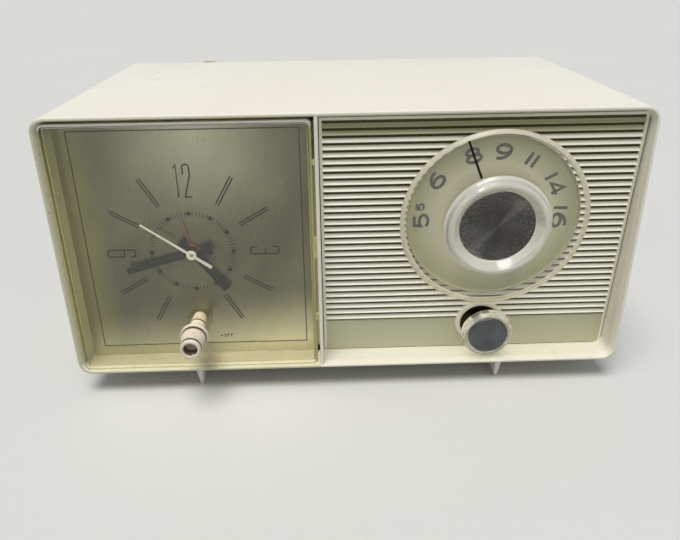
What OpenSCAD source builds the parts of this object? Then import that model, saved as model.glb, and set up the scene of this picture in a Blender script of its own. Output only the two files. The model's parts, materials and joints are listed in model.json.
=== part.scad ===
// Table clock radio: moulded cabinet, clock behind a clear crystal, leaning louvred panel with two knobs.
// Built around the cabinet's front rim plane (y = 0) and floor (z = 0), then set on its feet.

/* [Cabinet] */
// Width across the front rim
cabinet_w = 280; // [256:1:300]
// Height without the feet
cabinet_h = 133; // [120:1:146]
// Depth from the front rim to the open back
cabinet_d = 150; // [140:1:170]
// Inward taper of each side wall from front to back
side_taper = 5.7; // [2:0.1:8]
// Wall thickness
wall = 2.5; // [2:0.1:3]
// Corner radius of the outline
corner_r = 7; // [5:0.5:9]
// Centre of the wall between clock and radio
divider_x = -14.4; // [-16:0.1:-13]
// Thickness of that wall
divider_t = 1.8; // [1.4:0.1:2.4]
// Thickness of the rear cover
cover_t = 2.4; // [1.6:0.1:3]
// Height of the runners
foot_h = 12.5; // [8:0.5:16]
// Thickness of a runner
foot_t = 2.4; // [2:0.1:6]
// Distance of a runner from the middle
foot_x = 78.8; // [60:0.1:110]

/* [Front panel] */
// Depth of the panel's face behind the rim at the cabinet floor
panel_y = 13.9; // [13:0.1:16]
// Lean of the panel, top towards the front
panel_lean = 4.5; // [3:0.1:5]
// Thickness of the panel
panel_t = 2.2; // [1.8:0.1:2.6]
// Distance between slats
slat_pitch = 3.44; // [3.2:0.01:3.6]
// Number of slats
slat_count = 32; // [26:1:32]
// Width of the slit between two slats
slit_w = 1.3; // [0.7:0.1:1.4]

/* [Tuning] */
// Tuning axis, from the middle of the cabinet
tune_x = 68.9; // [66:0.1:74]
// Tuning axis, up along the panel
tune_s = 81.3; // [76:0.1:82]
// Radius of the tuning knob
tune_r = 43.7; // [38:0.1:45]
// Radius of its raised hub
hub_r = 24; // [21:0.1:27]
// Radius of its metal disc
insert_r = 17.8; // [14:0.1:19]
// Thickness of its skirt
skirt_t = 2.6; // [2.5:0.1:5]

/* [Volume] */
// Volume axis, from the middle of the cabinet
vol_x = 71; // [68:0.1:74]
// Volume axis, up along the panel
vol_s = 18.5; // [18:0.1:20]
// Radius of the volume knob
vol_r = 13.2; // [11:0.1:14]
// Radius of its metal disc
vol_insert_r = 10; // [7:0.1:10.4]
// Outer radius of the raised ring round the shaft hole
vol_ring_r = 13.6; // [12:0.1:14]

/* [Clock] */
// Clock axis, from the middle of its bay
clock_side = -0.8; // [-2:0.1:2]
// Clock axis, below the middle of the cabinet
clock_drop = 3.5; // [2:0.1:4]
// Depth of the dial's face behind the rim
dial_y = 12; // [11:0.1:14]
// Depth of the crystal's face behind the rim
crystal_y = 2; // [1:0.1:2.5]
// Wall of the crystal
crystal_t = 2.5; // [2:0.1:2.8]
// Hour that the hands show
shown_hour = 4; // [0:1:11]
// Minutes that the hands show
shown_minutes = 42.6; // [0:0.1:59.9]
// Seconds that the thin hand shows
shown_seconds = 51; // [0:1:59]
// Clock angle of the alarm hand
alarm_angle = 349; // [0:1:359]
// Reach of the minute hand
minute_reach = 33.6; // [28:0.1:33.8]
// Reach of the hour hand
hour_reach = 25.5; // [20:0.1:27]
// Reach of the second hand
second_reach = 28.4; // [20:0.1:33]
// Reach of the alarm hand
alarm_reach = 17; // [12:0.1:19]
// Drop of the selector shaft below the clock axis
selector_drop = 37; // [36.8:0.1:39]
// Radius of the selector shaft
selector_r = 2.8; // [2:0.1:3.4]
// Front of the selector knob before the rim
selector_reach = 21; // [20:0.5:26]
// Time-setting shaft, sideways from the clock axis
set_side = -6.5; // [-9:0.1:0]
// Radius of the two setting knobs at the back
set_knob_r = 8.2; // [6:0.1:9]

/* [Hidden] */
$fn = 64;
fit = 0.05;
glue = 0.02;
gap = 0.4;
half_h = cabinet_h / 2;
foot_front = 1.5;
foot_back = 10.5;

// Half width of the tapered cabinet at a depth y
function half_w(y) = cabinet_w / 2 - side_taper * y / cabinet_d;

// Setting knobs behind the rear cover
cover_back = cabinet_d + cover_t;
set_knob_gap = 3;
set_knob_t = 11;
set_neck_t = 3;
set_neck_r = 4.8;
set_cap = 2;
rear_y = cover_back + set_knob_gap + set_knob_t;
mid_y = (rear_y - selector_reach) / 2;

// Panel limits, measured along the leaning face
panel_left = divider_x + divider_t / 2 + gap;
panel_right = half_w(panel_y + panel_t) - wall - gap;
panel_low = (wall + gap) / cos(panel_lean);
panel_top = (cabinet_h - wall - gap - panel_t * sin(panel_lean)) / cos(panel_lean);
rib_t = 1.6;
rib_w = 2;
rib_back = panel_t + rib_t;
slit_inset = 1.4;
slit_top = panel_top - 1.5;
slat_low = slit_top - slat_pitch * (slat_count - 1) - slit_w;
panel_cut = corner_r / 2;
rib_inset = 11.5;
rib_step = 13;
lug = [9, 3, 12];
lug_inset = 2;

// Clock bay limits
bay_left = -half_w(dial_y) + wall;
bay_right = divider_x - divider_t / 2;
bay_x = (bay_left + bay_right) / 2;
bay_corner = 4.8;
clock_x = bay_x + clock_side;
clock_z = half_h - clock_drop;
dial_t = 1;
divider_back = 14;
ledge = 4;
ledge_t = 3;
bay_gap = 0.8;

// Clock levels, measured outwards from the dial's face
plate_t = 1.2;
front_plate = -12;
back_plate = -24;
level_set = -10.2;
level_hour = -7.8;
level_alarm = -4.4;
level_centre = -14.4;
level_third = -17.2;
level_second = -20.2;
wheel_t = 1.2;
leaf_lead = 0.3;
stud_end = 0.6;
alarm_hand_z = 0.9;
hour_hand_z = 2;
minute_hand_z = 3.1;
second_hand_z = 4.3;
hand_t = 0.4;

// Hands: tails, widths and hubs
hour_tail = 8.4;
hour_hand_w = 4;
hour_hub_r = 4;
minute_tail = 10.5;
minute_hand_w = 3.2;
minute_hub_r = 3.4;
second_tail = 11.5;
second_hand_w = 1.2;
second_hub_r = 2.6;
alarm_hand_w = 1;
alarm_hub_r = 4.6;

// Concentric arbors of the hands
second_r = 0.75;
cannon_r = 1.5;
hour_r = 2.3;
alarm_r = 3.1;
shaft_r = 2;
pivot_r = 1;
pivot_l = 5;
stud_r = 1.5;

// Gear teeth: height and depth in modules, half widths in quarters of a pitch
tooth_high = 0.75;
tooth_deep = 1.25;
tooth_root = 1.1;
tooth_tip = 0.36;

// Motion work: teeth, centre distances and directions
cannon_teeth = 12;
minute_teeth = 36;
minute_pinion_teeth = 10;
hour_teeth = 40;
idler_teeth = 32;
set_teeth = 12;
motion_module = 0.8;
minute_dist = motion_module * (cannon_teeth + minute_teeth) / 2;
hour_module = 2 * minute_dist / (minute_pinion_teeth + hour_teeth);
idler_dist = motion_module * (minute_teeth + idler_teeth) / 2;
set_dist = motion_module * (idler_teeth + set_teeth) / 2;
minute_at = [0, minute_dist];

// The setting shaft keeps its pinion just under the cabinet's top, as far as the train reaches
set_tip = motion_module * (set_teeth / 2 + tooth_high);
set_aim = [set_side, cabinet_h - wall - gap - set_tip - clock_z] - minute_at;
set_span = min(norm(set_aim), 0.999 * (idler_dist + set_dist));
set_at = minute_at + set_aim * set_span / norm(set_aim);
idler_bend = acos((idler_dist ^ 2 + set_span ^ 2 - set_dist ^ 2) / (2 * idler_dist * set_span));
idler_angle = atan2(set_aim[1], set_aim[0]) - idler_bend;
idler_at = minute_at + idler_dist * [cos(idler_angle), sin(idler_angle)];
set_angle = atan2(set_at[1] - idler_at[1], set_at[0] - idler_at[0]);
alarm_teeth = 60;
alarm_pinion_teeth = 15;
alarm_dist = motion_module * (alarm_teeth + alarm_pinion_teeth) / 2;
alarm_set_angle = 150;
alarm_set_at = alarm_dist * [cos(alarm_set_angle), sin(alarm_set_angle)];

// Going train: motor to second arbor, third wheel and centre wheel
second_teeth = 60;
motor_teeth = 12;
train_module = 0.5;
motor_dist = train_module * (second_teeth + motor_teeth) / 2;
motor_angle = 225;
motor_at = motor_dist * [cos(motor_angle), sin(motor_angle)];
leaf_teeth = 8;
third_teeth = 60;
centre_teeth = 64;
third_dist = train_module * (leaf_teeth + third_teeth) / 2;
centre_module = 2 * third_dist / (leaf_teeth + centre_teeth);
third_at = [third_dist, 0];

// Movement plates and pillars
plate_w = 84;
plate_low = -46;
plate_top = set_at[1] + shaft_r + 1.6;
pillar_x = 36;
pillar_low = plate_low + 6;
pillar_high = plate_top - 8;
pillar_r = 2.5;
post_r = 2;

// Clock motor
can_r = 13;
can_l = 22;
core_t = 8;
core_front = back_plate - 8;
core_half = 17;
core_inset = 3;
window_w = 20;
leg_w = 8;
leg_x = 39;
coil_wrap = 6;

// Selector and its switch
selector_at = [0, -selector_drop];
selector_end = -32;
selector_l = 14;
selector_cap = 6;
flange_r = 6.8;
flange_t = 3;
grip_r = 5;
front_ring_r = 5.3;
front_ring_t = 5;
cup_r = 3.6;
cup_l = 4;
cam_r = 6;
cam_lift = 1.5;
cam_z = -30;
cam_t = 3;
switch_w = 28;
switch_h = 9;
switch_t = 10;
button_w = 4;
button_l = 2;

// Scale plate and tuning knob, measured outwards from the panel's face
scale_gap = 1.2;
scale_r = tune_r - skirt_t - scale_gap;
scale_t = 1.2;
scale_hole_r = 6;
scale_seat_r = 12;
skirt_back = 3;
tune_boss_r = 8;
tune_roof = 10;
tune_face = 14;
rim_bevel = 1.3;
tune_bore_end = 12.5;
insert_z = 14;
insert_t = 0.8;
hub_top = 19;

// Tuning capacitor
tune_shaft_r = 3;
tune_shaft_tail = 2;
shaft_play = 2;
vane_start = 5;
rotor_hub_r = 5;
stator_drop = 3;
stator_rod_r = 1.2;
post_tip_r = 2.4;
frame_front = -16;
frame_l = 30;
frame_w = 30;
frame_h = 38;
vane_r = 14;
vane_t = 0.8;
vane_pitch = 2.8;
vane_count = 8;
post_x = 11;
post_y = 15;

// Volume control
vol_ring_t = 2;
vol_hole_r = vol_ring_r - 3;
vol_back = 4;
vol_front = 14;
vol_bevel = 3;
vol_insert_z = 12.8;
vol_bore_end = 11.5;
vol_shaft_tail = 8;
bracket_half = 18;
bracket_low = 2.5;
bracket_h = 25.2;
bush_r = 4.5;
bush_end = 2;
nut_r = 6.5;
nut_t = 2;
pot_r = 9;
pot_l = 11;

// Loudspeaker
speaker_x = 21;
speaker_s = 70;
speaker_r = 33;
ear_r = 36;
ear_tip_r = 4;
speaker_head_r = 2.6;
speaker_head_t = 1.6;
speaker_screw_l = rib_t;
cone_r = 28;
cone_l = 12;
cone_t = 0.8;
cap_l = 10;
voice_r = 7;
basket_l = 17;
magnet_r = 16;
magnet_l = 12;

// Circuit board and what stands on it
board_x = 10;
board_y = 62;
board_w = 112;
board_l = 72;
board_z = 12;
board_t = 1.6;
board_inset = 5;
board_top = board_z + board_t;
can_size = [10, 10, 15];
can_x = 24;
can_y = 14;
can_pitch = 22;
capacitor_r = 8;
capacitor_h = 26;
capacitor_x = 94;
capacitor_y = 26;
core_leg = 7;
core_l = 14;
core_h = 36;
core_x = 20;
core_y = 34;
core_wrap = 6;

// Rod antenna under the cabinet top
rod_r = 5;
rod_drop = 16;
rod_coil_r = 7;
rod_coil_l = 30;
rod_l = 110;
rod_x = 68;
rod_y = 118;
rod_z = cabinet_h - wall - rod_drop;
hook_x = 40;
hook_t = 3;
hook_r = 8;

// Screws shared by board and rear cover
screw_r = 1.45;
screw_play = 0.25;
screw_head_r = 3.2;
screw_head_t = 2;
screw_l = 9;
boss_r = 4;
boss_l = 22;
boss_inset = 6.2;
cover_screws = [for (side = [-1, 1]) for (z = [boss_inset, cabinet_h - boss_inset])
    [side * (half_w(cabinet_d) - boss_inset), z]];
board_screws = [for (x = [board_inset, board_w - board_inset]) for (y = [board_inset, board_l - board_inset])
    [board_x + x, board_y + y]];

// Cord inlet in the rear cover
gland_x = 40;
gland_z = 30;
gland_r = 6;
gland_flange_r = 8.5;
gland_flange_t = 4;
gland_lip_r = 7.5;
gland_lip_t = 3;
cord_r = 3.2;

// Vent slots in the rear cover
vent_w = 2.4;
vent_pitch = 6;
vent_left = -30;
vent_right = 100;
vent_z = 60;
vent_h = 53;
clock_vent_half = 20;
clock_vent_z = 12;
clock_vent_h = 26;

// Frames

// Stands the cabinet on its feet, centred front to back between its foremost and rearmost pieces
module placed() {
    translate([0, -mid_y, foot_h]) children();
}

// Clock frame: z points out of the dial's face
module at_clock(at = [0, 0], z = 0) {
    placed() translate([clock_x + at[0], dial_y, clock_z + at[1]]) rotate([90, 0, 0])
        translate([0, 0, z]) children();
}

// Panel frame: y runs up the leaning face, z points out of it
module at_panel(at = [0, 0], z = 0) {
    placed() translate([0, panel_y, 0]) rotate([panel_lean, 0, 0]) rotate([90, 0, 0])
        translate([at[0], at[1], z]) children();
}

// Shared shapes

module rounded_rect(w, h, r) {
    hull() for (x = [r - w / 2, w / 2 - r]) for (y = [r - h / 2, h / 2 - r])
        translate([x, y]) circle(r, $fn = 32);
}

// Outline of the cabinet, inset all round, as a thin slice at depth y
module cabinet_slice(y, inset) {
    translate([0, y, half_h]) rotate([90, 0, 0])
        linear_extrude(glue) rounded_rect(2 * (half_w(y) - inset), cabinet_h - 2 * inset, corner_r - inset);
}

module cabinet_block(y0, y1, inset) {
    hull() {
        cabinet_slice(y0, inset);
        cabinet_slice(y1, inset);
    }
}

module ring(r_out, r_in, h) {
    difference() {
        cylinder(r = r_out, h = h);
        translate([0, 0, -1]) cylinder(r = r_in, h = h + 2);
    }
}

// Corner points of one gear, with play left between its teeth
function gear_outline(teeth, size) = let (
    r = teeth * size / 2, low = r - tooth_deep * size, high = r + tooth_high * size, quarter = 90 / teeth) [
    for (i = [0 : teeth - 1])
    for (p = [[-tooth_root, low], [-tooth_tip, high], [tooth_tip, high], [tooth_root, low]])
    let (a = 360 * i / teeth + p[0] * quarter)
    p[1] * [cos(a), sin(a)]];

// Turn that meshes a gear with one at phase pa, seen from that gear in the direction given
function mesh_turn(direction, na, pa, nb) =
    direction + 180 - (0.5 - (direction - pa) * na / 360) * 360 / nb;

module gear(teeth, size, turn, t) {
    rotate([0, 0, turn]) linear_extrude(t) polygon(gear_outline(teeth, size));
}

module screw(l) {
    cylinder(r = screw_head_r, h = screw_head_t);
    translate([0, 0, -l]) cylinder(r = screw_r, h = l);
}

// A hand that points to 12 before it is turned
module hand(reach, tail, w, hub, bore, angle) {
    rotate([0, 0, -angle]) linear_extrude(hand_t) difference() {
        union() {
            translate([-w / 2, -tail]) square([w, reach + tail]);
            circle(hub);
        }
        circle(bore);
    }
}

module at_pillars() {
    for (x = [-pillar_x, pillar_x]) for (y = [pillar_low, pillar_high]) translate([x, y, 0]) children();
}

// Gear phases at rest
minute_turn = mesh_turn(90, cannon_teeth, 0, minute_teeth);
hour_turn = mesh_turn(270, minute_pinion_teeth, 0, hour_teeth);
idler_turn = mesh_turn(idler_angle, minute_teeth, minute_turn, idler_teeth);
set_turn = mesh_turn(set_angle, idler_teeth, idler_turn, set_teeth);
alarm_pinion_turn = mesh_turn(alarm_set_angle, alarm_teeth, 0, alarm_pinion_teeth);
motor_turn = mesh_turn(motor_angle, second_teeth, 0, motor_teeth);
third_turn = mesh_turn(0, leaf_teeth, 0, third_teeth);
centre_turn = mesh_turn(180, leaf_teeth, 0, centre_teeth);

// Cabinet

module clock_ledges() {
    y = dial_y + dial_t;
    low = wall / 2;
    left = bay_left - wall / 2;
    span = bay_right + divider_t / 2 - left;
    for (z = [low, cabinet_h - low - ledge - wall / 2])
        translate([left + corner_r, y, z]) cube([span - corner_r, ledge_t, ledge + wall / 2]);
    for (x = [left, bay_right + divider_t / 2 - ledge - wall / 2])
        translate([x, y, corner_r]) cube([ledge + wall / 2, ledge_t, cabinet_h - 2 * corner_r]);
}

// Lugs behind the four corners of the panel
module panel_lugs() {
    for (x = [panel_left - gap - divider_t / 2, panel_right + gap + wall / 2 - lug[0]])
        for (s = [panel_low + lug_inset, panel_top - lug_inset - lug[2]])
        translate([0, panel_y, 0]) rotate([panel_lean, 0, 0]) translate([x, panel_t, s]) cube(lug);
}

module cover_bosses() {
    for (p = cover_screws) translate([p[0], cabinet_d, p[1]]) rotate([90, 0, 0])
        cylinder(r = boss_r, h = boss_l);
}

module board_posts() {
    for (p = board_screws) translate([p[0], p[1], wall / 2]) cylinder(r = boss_r, h = board_z - wall / 2);
}

module rod_hooks() {
    for (side = [-1, 1]) translate([rod_x + side * hook_x - hook_t / 2, rod_y - hook_r, rod_z - hook_r])
        cube([hook_t, 2 * hook_r, cabinet_h - wall / 2 - rod_z + hook_r]);
}

module cabinet_shell() {
    color("ivory") placed() difference() {
        union() {
            difference() {
                cabinet_block(glue, cabinet_d, 0);
                cabinet_block(-1, cabinet_d + 1, wall);
            }
            translate([divider_x - divider_t / 2, 0, wall / 2])
                cube([divider_t, dial_y + divider_back, cabinet_h - wall]);
            clock_ledges();
            panel_lugs();
            cover_bosses();
            board_posts();
            rod_hooks();
        }
        for (p = cover_screws) translate([p[0], cabinet_d + 1, p[1]]) rotate([90, 0, 0])
            cylinder(r = screw_r + fit, h = screw_l + 3);
        for (p = board_screws) translate([p[0], p[1], wall]) cylinder(r = screw_r + fit, h = board_z);
        translate([rod_x - rod_l / 2, rod_y, rod_z]) rotate([0, 90, 0]) cylinder(r = rod_r + fit, h = rod_l);
    }
}

module foot(side) {
    color("ivory") placed() translate([side * foot_x - foot_t / 2, foot_front, -foot_h])
        cube([foot_t, cabinet_d - foot_front - foot_back, foot_h]);
}

module left_foot() {
    foot(-1);
}

module right_foot() {
    foot(1);
}

// Panel with its slits, ribs, speaker seat, capacitor posts and volume ring

module panel_plate() {
    translate([0, 0, -panel_t]) linear_extrude(panel_t) polygon([
        [panel_left, panel_low], [panel_right - panel_cut, panel_low], [panel_right, panel_low + panel_cut],
        [panel_right, panel_top - panel_cut], [panel_right - panel_cut, panel_top], [panel_left, panel_top]]);
}

module panel_slits() {
    span = panel_right - panel_left - 2 * slit_inset;
    for (i = [0 : slat_count - 1])
        translate([panel_left + slit_inset, slit_top - slat_pitch * i - slit_w, -panel_t - 1])
        cube([span - (i == 0 ? panel_cut : 0), slit_w, panel_t + 2]);
}

module panel_ribs() {
    low = slat_low - slat_pitch;
    for (x = [panel_left + rib_inset, speaker_x, tune_x + 2 * rib_inset, panel_right - rib_inset - rib_step,
        panel_right - rib_inset]) translate([x - rib_w / 2, low, -rib_back])
        cube([rib_w, slit_top + slit_w / 2 - low, rib_t]);
}

module speaker_ears(r, h) {
    for (a = [45 : 90 : 315]) rotate([0, 0, a]) translate([ear_r, 0, 0]) cylinder(r = r, h = h);
}

module tuning_posts(r, l) {
    for (x = [-post_x, post_x]) for (y = [-post_y, post_y]) translate([x, y, 0]) cylinder(r = r, h = l);
}

module louvre_panel() {
    color("beige") at_panel() difference() {
        union() {
            difference() {
                panel_plate();
                panel_slits();
            }
            panel_ribs();
            translate([speaker_x, speaker_s, -rib_back]) {
                ring(speaker_r, cone_r, rib_t + 1);
                speaker_ears(ear_tip_r, rib_t + 1);
            }
            translate([tune_x, tune_s, frame_front]) tuning_posts(post_tip_r, -frame_front - panel_t / 2);
            translate([tune_x, tune_s, -panel_t]) cylinder(r = scale_seat_r, h = panel_t);
            translate([vol_x, vol_s, -panel_t]) cylinder(r = vol_ring_r, h = panel_t + vol_ring_t);
        }
        translate([vol_x, vol_s, -panel_t - 1]) cylinder(r = vol_hole_r, h = panel_t + vol_ring_t + 2);
        translate([tune_x, tune_s, -panel_t - 1]) cylinder(r = tune_shaft_r + shaft_play, h = panel_t + 2);
        translate([speaker_x, speaker_s, -rib_back - 1])
            speaker_ears(screw_r + fit, speaker_screw_l + 1 + gap / 2);
    }
}

// Rear cover

module cover_vents() {
    for (x = [vent_left : vent_pitch : vent_right]) translate([x, -1, vent_z])
        cube([vent_w, cover_t + 2, vent_h]);
    for (x = [-clock_vent_half : vent_pitch : clock_vent_half]) translate([clock_x + x, -1, clock_vent_z])
        cube([vent_w, cover_t + 2, clock_vent_h]);
}

module rear_cover() {
    color("saddlebrown") placed() translate([0, cabinet_d, 0]) difference() {
        translate([0, cover_t, half_h]) rotate([90, 0, 0])
            linear_extrude(cover_t) rounded_rect(2 * half_w(cabinet_d), cabinet_h, corner_r);
        cover_vents();
        translate([0, cover_t + 1, 0]) rotate([90, 0, 0]) {
            for (p = cover_screws) translate(p) cylinder(r = screw_r + screw_play, h = cover_t + 2);
            for (p = [set_at, alarm_set_at]) translate([clock_x, clock_z] + p)
                cylinder(r = shaft_r + gap, h = cover_t + 2);
            translate([gland_x, gland_z]) cylinder(r = gland_r + glue, h = cover_t + 2);
        }
    }
}

module case_screws() {
    color("silver") placed() {
        for (p = cover_screws) translate([p[0], cover_back, p[1]]) rotate([-90, 0, 0]) screw(screw_l);
        for (p = board_screws) translate([p[0], p[1], board_top]) screw(screw_l);
    }
}

module cord_gland() {
    neck = cover_t + gland_flange_t;
    color("black") placed() translate([gland_x, cover_back + gland_flange_t, gland_z]) rotate([90, 0, 0])
        difference() {
            union() {
                cylinder(r = gland_flange_r, h = gland_flange_t);
                cylinder(r = gland_r, h = neck);
                translate([0, 0, neck]) cylinder(r = gland_lip_r, h = gland_lip_t);
            }
            translate([0, 0, -1]) cylinder(r = cord_r, h = neck + gland_lip_t + 2);
        }
}

// Clock face

module bay_box(inset, y0, y1) {
    translate([bay_x, y1, half_h]) rotate([90, 0, 0]) linear_extrude(y1 - y0)
        rounded_rect(bay_right - bay_left - 2 * inset, cabinet_h - 2 * wall - 2 * inset, bay_corner - inset);
}

module clock_crystal() {
    color("khaki", 0.35) difference() {
        placed() difference() {
            bay_box(bay_gap, crystal_y, dial_y);
            bay_box(bay_gap + crystal_t, crystal_y + crystal_t, dial_y + 1);
        }
        at_clock(selector_at, -1) cylinder(r = selector_r + gap, h = dial_y);
    }
}

module clock_dial() {
    color("darkkhaki") difference() {
        union() {
            placed() bay_box(bay_gap, dial_y, dial_y + dial_t);
            at_clock([0, 0], front_plate + plate_t) at_pillars()
                cylinder(r = post_r, h = -front_plate - plate_t - dial_t / 2);
        }
        at_clock([0, 0], -dial_t - 1) cylinder(r = alarm_r + gap, h = dial_t + 2);
        at_clock(selector_at, -dial_t - 1) cylinder(r = selector_r + gap, h = dial_t + 2);
    }
}

module hour_hand() {
    angle = 30 * shown_hour + shown_minutes / 2;
    color("black") at_clock([0, 0], hour_hand_z)
        hand(hour_reach, hour_tail, hour_hand_w, hour_hub_r, hour_r + glue, angle);
}

module minute_hand() {
    color("black") at_clock([0, 0], minute_hand_z)
        hand(minute_reach, minute_tail, minute_hand_w, minute_hub_r, cannon_r + glue, 6 * shown_minutes);
}

module second_hand() {
    color("white") at_clock([0, 0], second_hand_z)
        hand(second_reach, second_tail, second_hand_w, second_hub_r, second_r + glue, 6 * shown_seconds);
}

module alarm_hand() {
    color("red") at_clock([0, 0], alarm_hand_z)
        hand(alarm_reach, 0, alarm_hand_w, alarm_hub_r, alarm_r + glue, alarm_angle);
}

// Movement

module plate(extra_holes) {
    linear_extrude(plate_t) difference() {
        translate([-plate_w / 2, plate_low]) square([plate_w, plate_top - plate_low]);
        for (p = extra_holes) translate([p[0], p[1]]) circle(p[2]);
        for (p = [set_at, alarm_set_at]) translate(p) circle(shaft_r + fit);
        translate(selector_at) circle(selector_r + fit);
    }
}

module movement_front_plate() {
    color("goldenrod") at_clock([0, 0], front_plate) {
        plate([[0, 0, cannon_r + fit], [third_at[0], third_at[1], pivot_r + fit]]);
        translate(minute_at) cylinder(r = stud_r, h = level_hour + wheel_t + stud_end - front_plate);
        translate(idler_at) cylinder(r = stud_r, h = level_set + wheel_t + stud_end - front_plate);
    }
}

module movement_back_plate() {
    color("goldenrod") at_clock([0, 0], back_plate) {
        plate([[0, 0, second_r + fit], [third_at[0], third_at[1], pivot_r + fit],
            [motor_at[0], motor_at[1], pivot_r + fit]]);
        for (x = [core_inset - core_half, core_half])
            for (y = [core_inset - core_half, core_half - core_inset])
            translate([motor_at[0] + x, motor_at[1] + y, core_front - back_plate])
            cylinder(r = post_r, h = back_plate - core_front + plate_t / 2);
    }
}

module movement_pillars() {
    color("goldenrod") at_clock([0, 0], back_plate + plate_t) at_pillars()
        cylinder(r = pillar_r, h = front_plate - back_plate - plate_t);
}

module motor_can() {
    color("peru") at_clock(motor_at, back_plate - can_l) difference() {
        cylinder(r = can_r, h = can_l);
        translate([0, 0, can_l - pivot_l - 1]) cylinder(r = pivot_r + fit, h = pivot_l + 2);
    }
}

module motor_core() {
    color("dimgray") at_clock(motor_at, core_front - core_t) linear_extrude(core_t) difference() {
        translate([-core_half, -core_half]) square([leg_x + leg_w + core_half, 2 * core_half]);
        translate([leg_x - window_w, 1 + leg_w - core_half]) square([window_w, 2 * (core_half - leg_w - 1)]);
        circle(can_r + glue);
    }
}

module motor_coil() {
    half = core_half - leg_w - 1 - glue;
    color("firebrick") at_clock(motor_at, core_front - core_t) translate([leg_x, -half, 0]) difference() {
        translate([-coil_wrap, 0, -coil_wrap])
            cube([leg_w + 2 * coil_wrap, 2 * half, core_t + 2 * coil_wrap]);
        translate([-glue, -1, -glue]) cube([leg_w + 2 * glue, 2 * half + 2, core_t + 2 * glue]);
    }
}

module motor_pinion() {
    color("gold") at_clock(motor_at) {
        translate([0, 0, back_plate - pivot_l])
            cylinder(r = pivot_r, h = level_second + wheel_t / 2 - back_plate + pivot_l);
        translate([0, 0, level_second]) gear(motor_teeth, train_module, motor_turn, wheel_t + leaf_lead);
    }
}

module second_wheel() {
    color("gold") at_clock() {
        translate([0, 0, back_plate + leaf_lead])
            cylinder(r = second_r, h = second_hand_z + hand_t - back_plate - leaf_lead);
        translate([0, 0, level_second]) gear(second_teeth, train_module, 0, wheel_t);
        translate([0, 0, level_third - leaf_lead]) gear(leaf_teeth, train_module, 0, wheel_t + 2 * leaf_lead);
    }
}

module third_wheel() {
    color("gold") at_clock(third_at) {
        translate([0, 0, back_plate + leaf_lead])
            cylinder(r = pivot_r, h = front_plate - back_plate + leaf_lead);
        translate([0, 0, level_third]) gear(third_teeth, train_module, third_turn, wheel_t);
        translate([0, 0, level_centre - leaf_lead])
            gear(leaf_teeth, centre_module, 0, wheel_t + 2 * leaf_lead);
    }
}

module centre_wheel() {
    color("gold") at_clock([0, 0], level_centre) difference() {
        gear(centre_teeth, centre_module, centre_turn, wheel_t);
        translate([0, 0, -1]) cylinder(r = cannon_r + fit, h = wheel_t + 2);
    }
}

module cannon_pinion() {
    color("gold") at_clock() difference() {
        union() {
            translate([0, 0, level_centre - leaf_lead])
                cylinder(r = cannon_r, h = minute_hand_z + hand_t - level_centre + leaf_lead);
            translate([0, 0, level_set]) gear(cannon_teeth, motion_module, 0, wheel_t + leaf_lead);
        }
        translate([0, 0, level_centre - 1])
            cylinder(r = second_r + fit, h = minute_hand_z - level_centre + 2);
    }
}

module minute_wheel() {
    color("gold") at_clock(minute_at) difference() {
        union() {
            translate([0, 0, level_set]) gear(minute_teeth, motion_module, minute_turn, wheel_t);
            translate([0, 0, level_set])
                gear(minute_pinion_teeth, hour_module, 0, level_hour - level_set + wheel_t);
        }
        translate([0, 0, level_set - 1]) cylinder(r = stud_r + fit, h = level_hour - level_set + wheel_t + 2);
    }
}

module hour_wheel() {
    color("gold") at_clock() difference() {
        union() {
            translate([0, 0, level_hour - stud_end])
                cylinder(r = hour_r, h = hour_hand_z + hand_t - level_hour + stud_end);
            translate([0, 0, level_hour]) gear(hour_teeth, hour_module, hour_turn, wheel_t);
        }
        translate([0, 0, level_hour - 1]) cylinder(r = cannon_r + fit, h = hour_hand_z - level_hour + 2);
    }
}

module set_idler() {
    color("gold") at_clock(idler_at, level_set) difference() {
        gear(idler_teeth, motion_module, idler_turn, wheel_t);
        translate([0, 0, -1]) cylinder(r = stud_r + fit, h = wheel_t + 2);
    }
}

// Shaft from the movement's front plate to a setting knob behind the rear cover
module setting_shaft(at, front, teeth, turn, level) {
    color("silver") at_clock(at) {
        translate([0, 0, dial_y - rear_y + set_cap])
            cylinder(r = shaft_r, h = front - dial_y + rear_y - set_cap);
        translate([0, 0, level]) gear(teeth, motion_module, turn, wheel_t);
    }
}

module setting_knob(at) {
    color("ivory") at_clock(at, dial_y - rear_y) difference() {
        union() {
            cylinder(r = set_knob_r, h = set_knob_t - set_neck_t);
            cylinder(r = set_neck_r, h = set_knob_t);
        }
        translate([0, 0, set_cap]) cylinder(r = shaft_r + glue, h = set_knob_t);
    }
}

module set_shaft() {
    setting_shaft(set_at, level_set + wheel_t + leaf_lead, set_teeth, set_turn, level_set);
}

module time_set_knob() {
    setting_knob(set_at);
}

module alarm_set_shaft() {
    front = level_alarm + wheel_t + leaf_lead;
    setting_shaft(alarm_set_at, front, alarm_pinion_teeth, alarm_pinion_turn, level_alarm);
}

module alarm_set_knob() {
    setting_knob(alarm_set_at);
}

module alarm_wheel() {
    color("gold") at_clock() difference() {
        union() {
            translate([0, 0, level_alarm]) cylinder(r = alarm_r, h = alarm_hand_z + hand_t - level_alarm);
            translate([0, 0, level_alarm]) gear(alarm_teeth, motion_module, 0, wheel_t);
        }
        translate([0, 0, level_alarm - 1]) cylinder(r = hour_r + fit, h = alarm_hand_z - level_alarm + 3);
    }
}

// Selector

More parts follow.
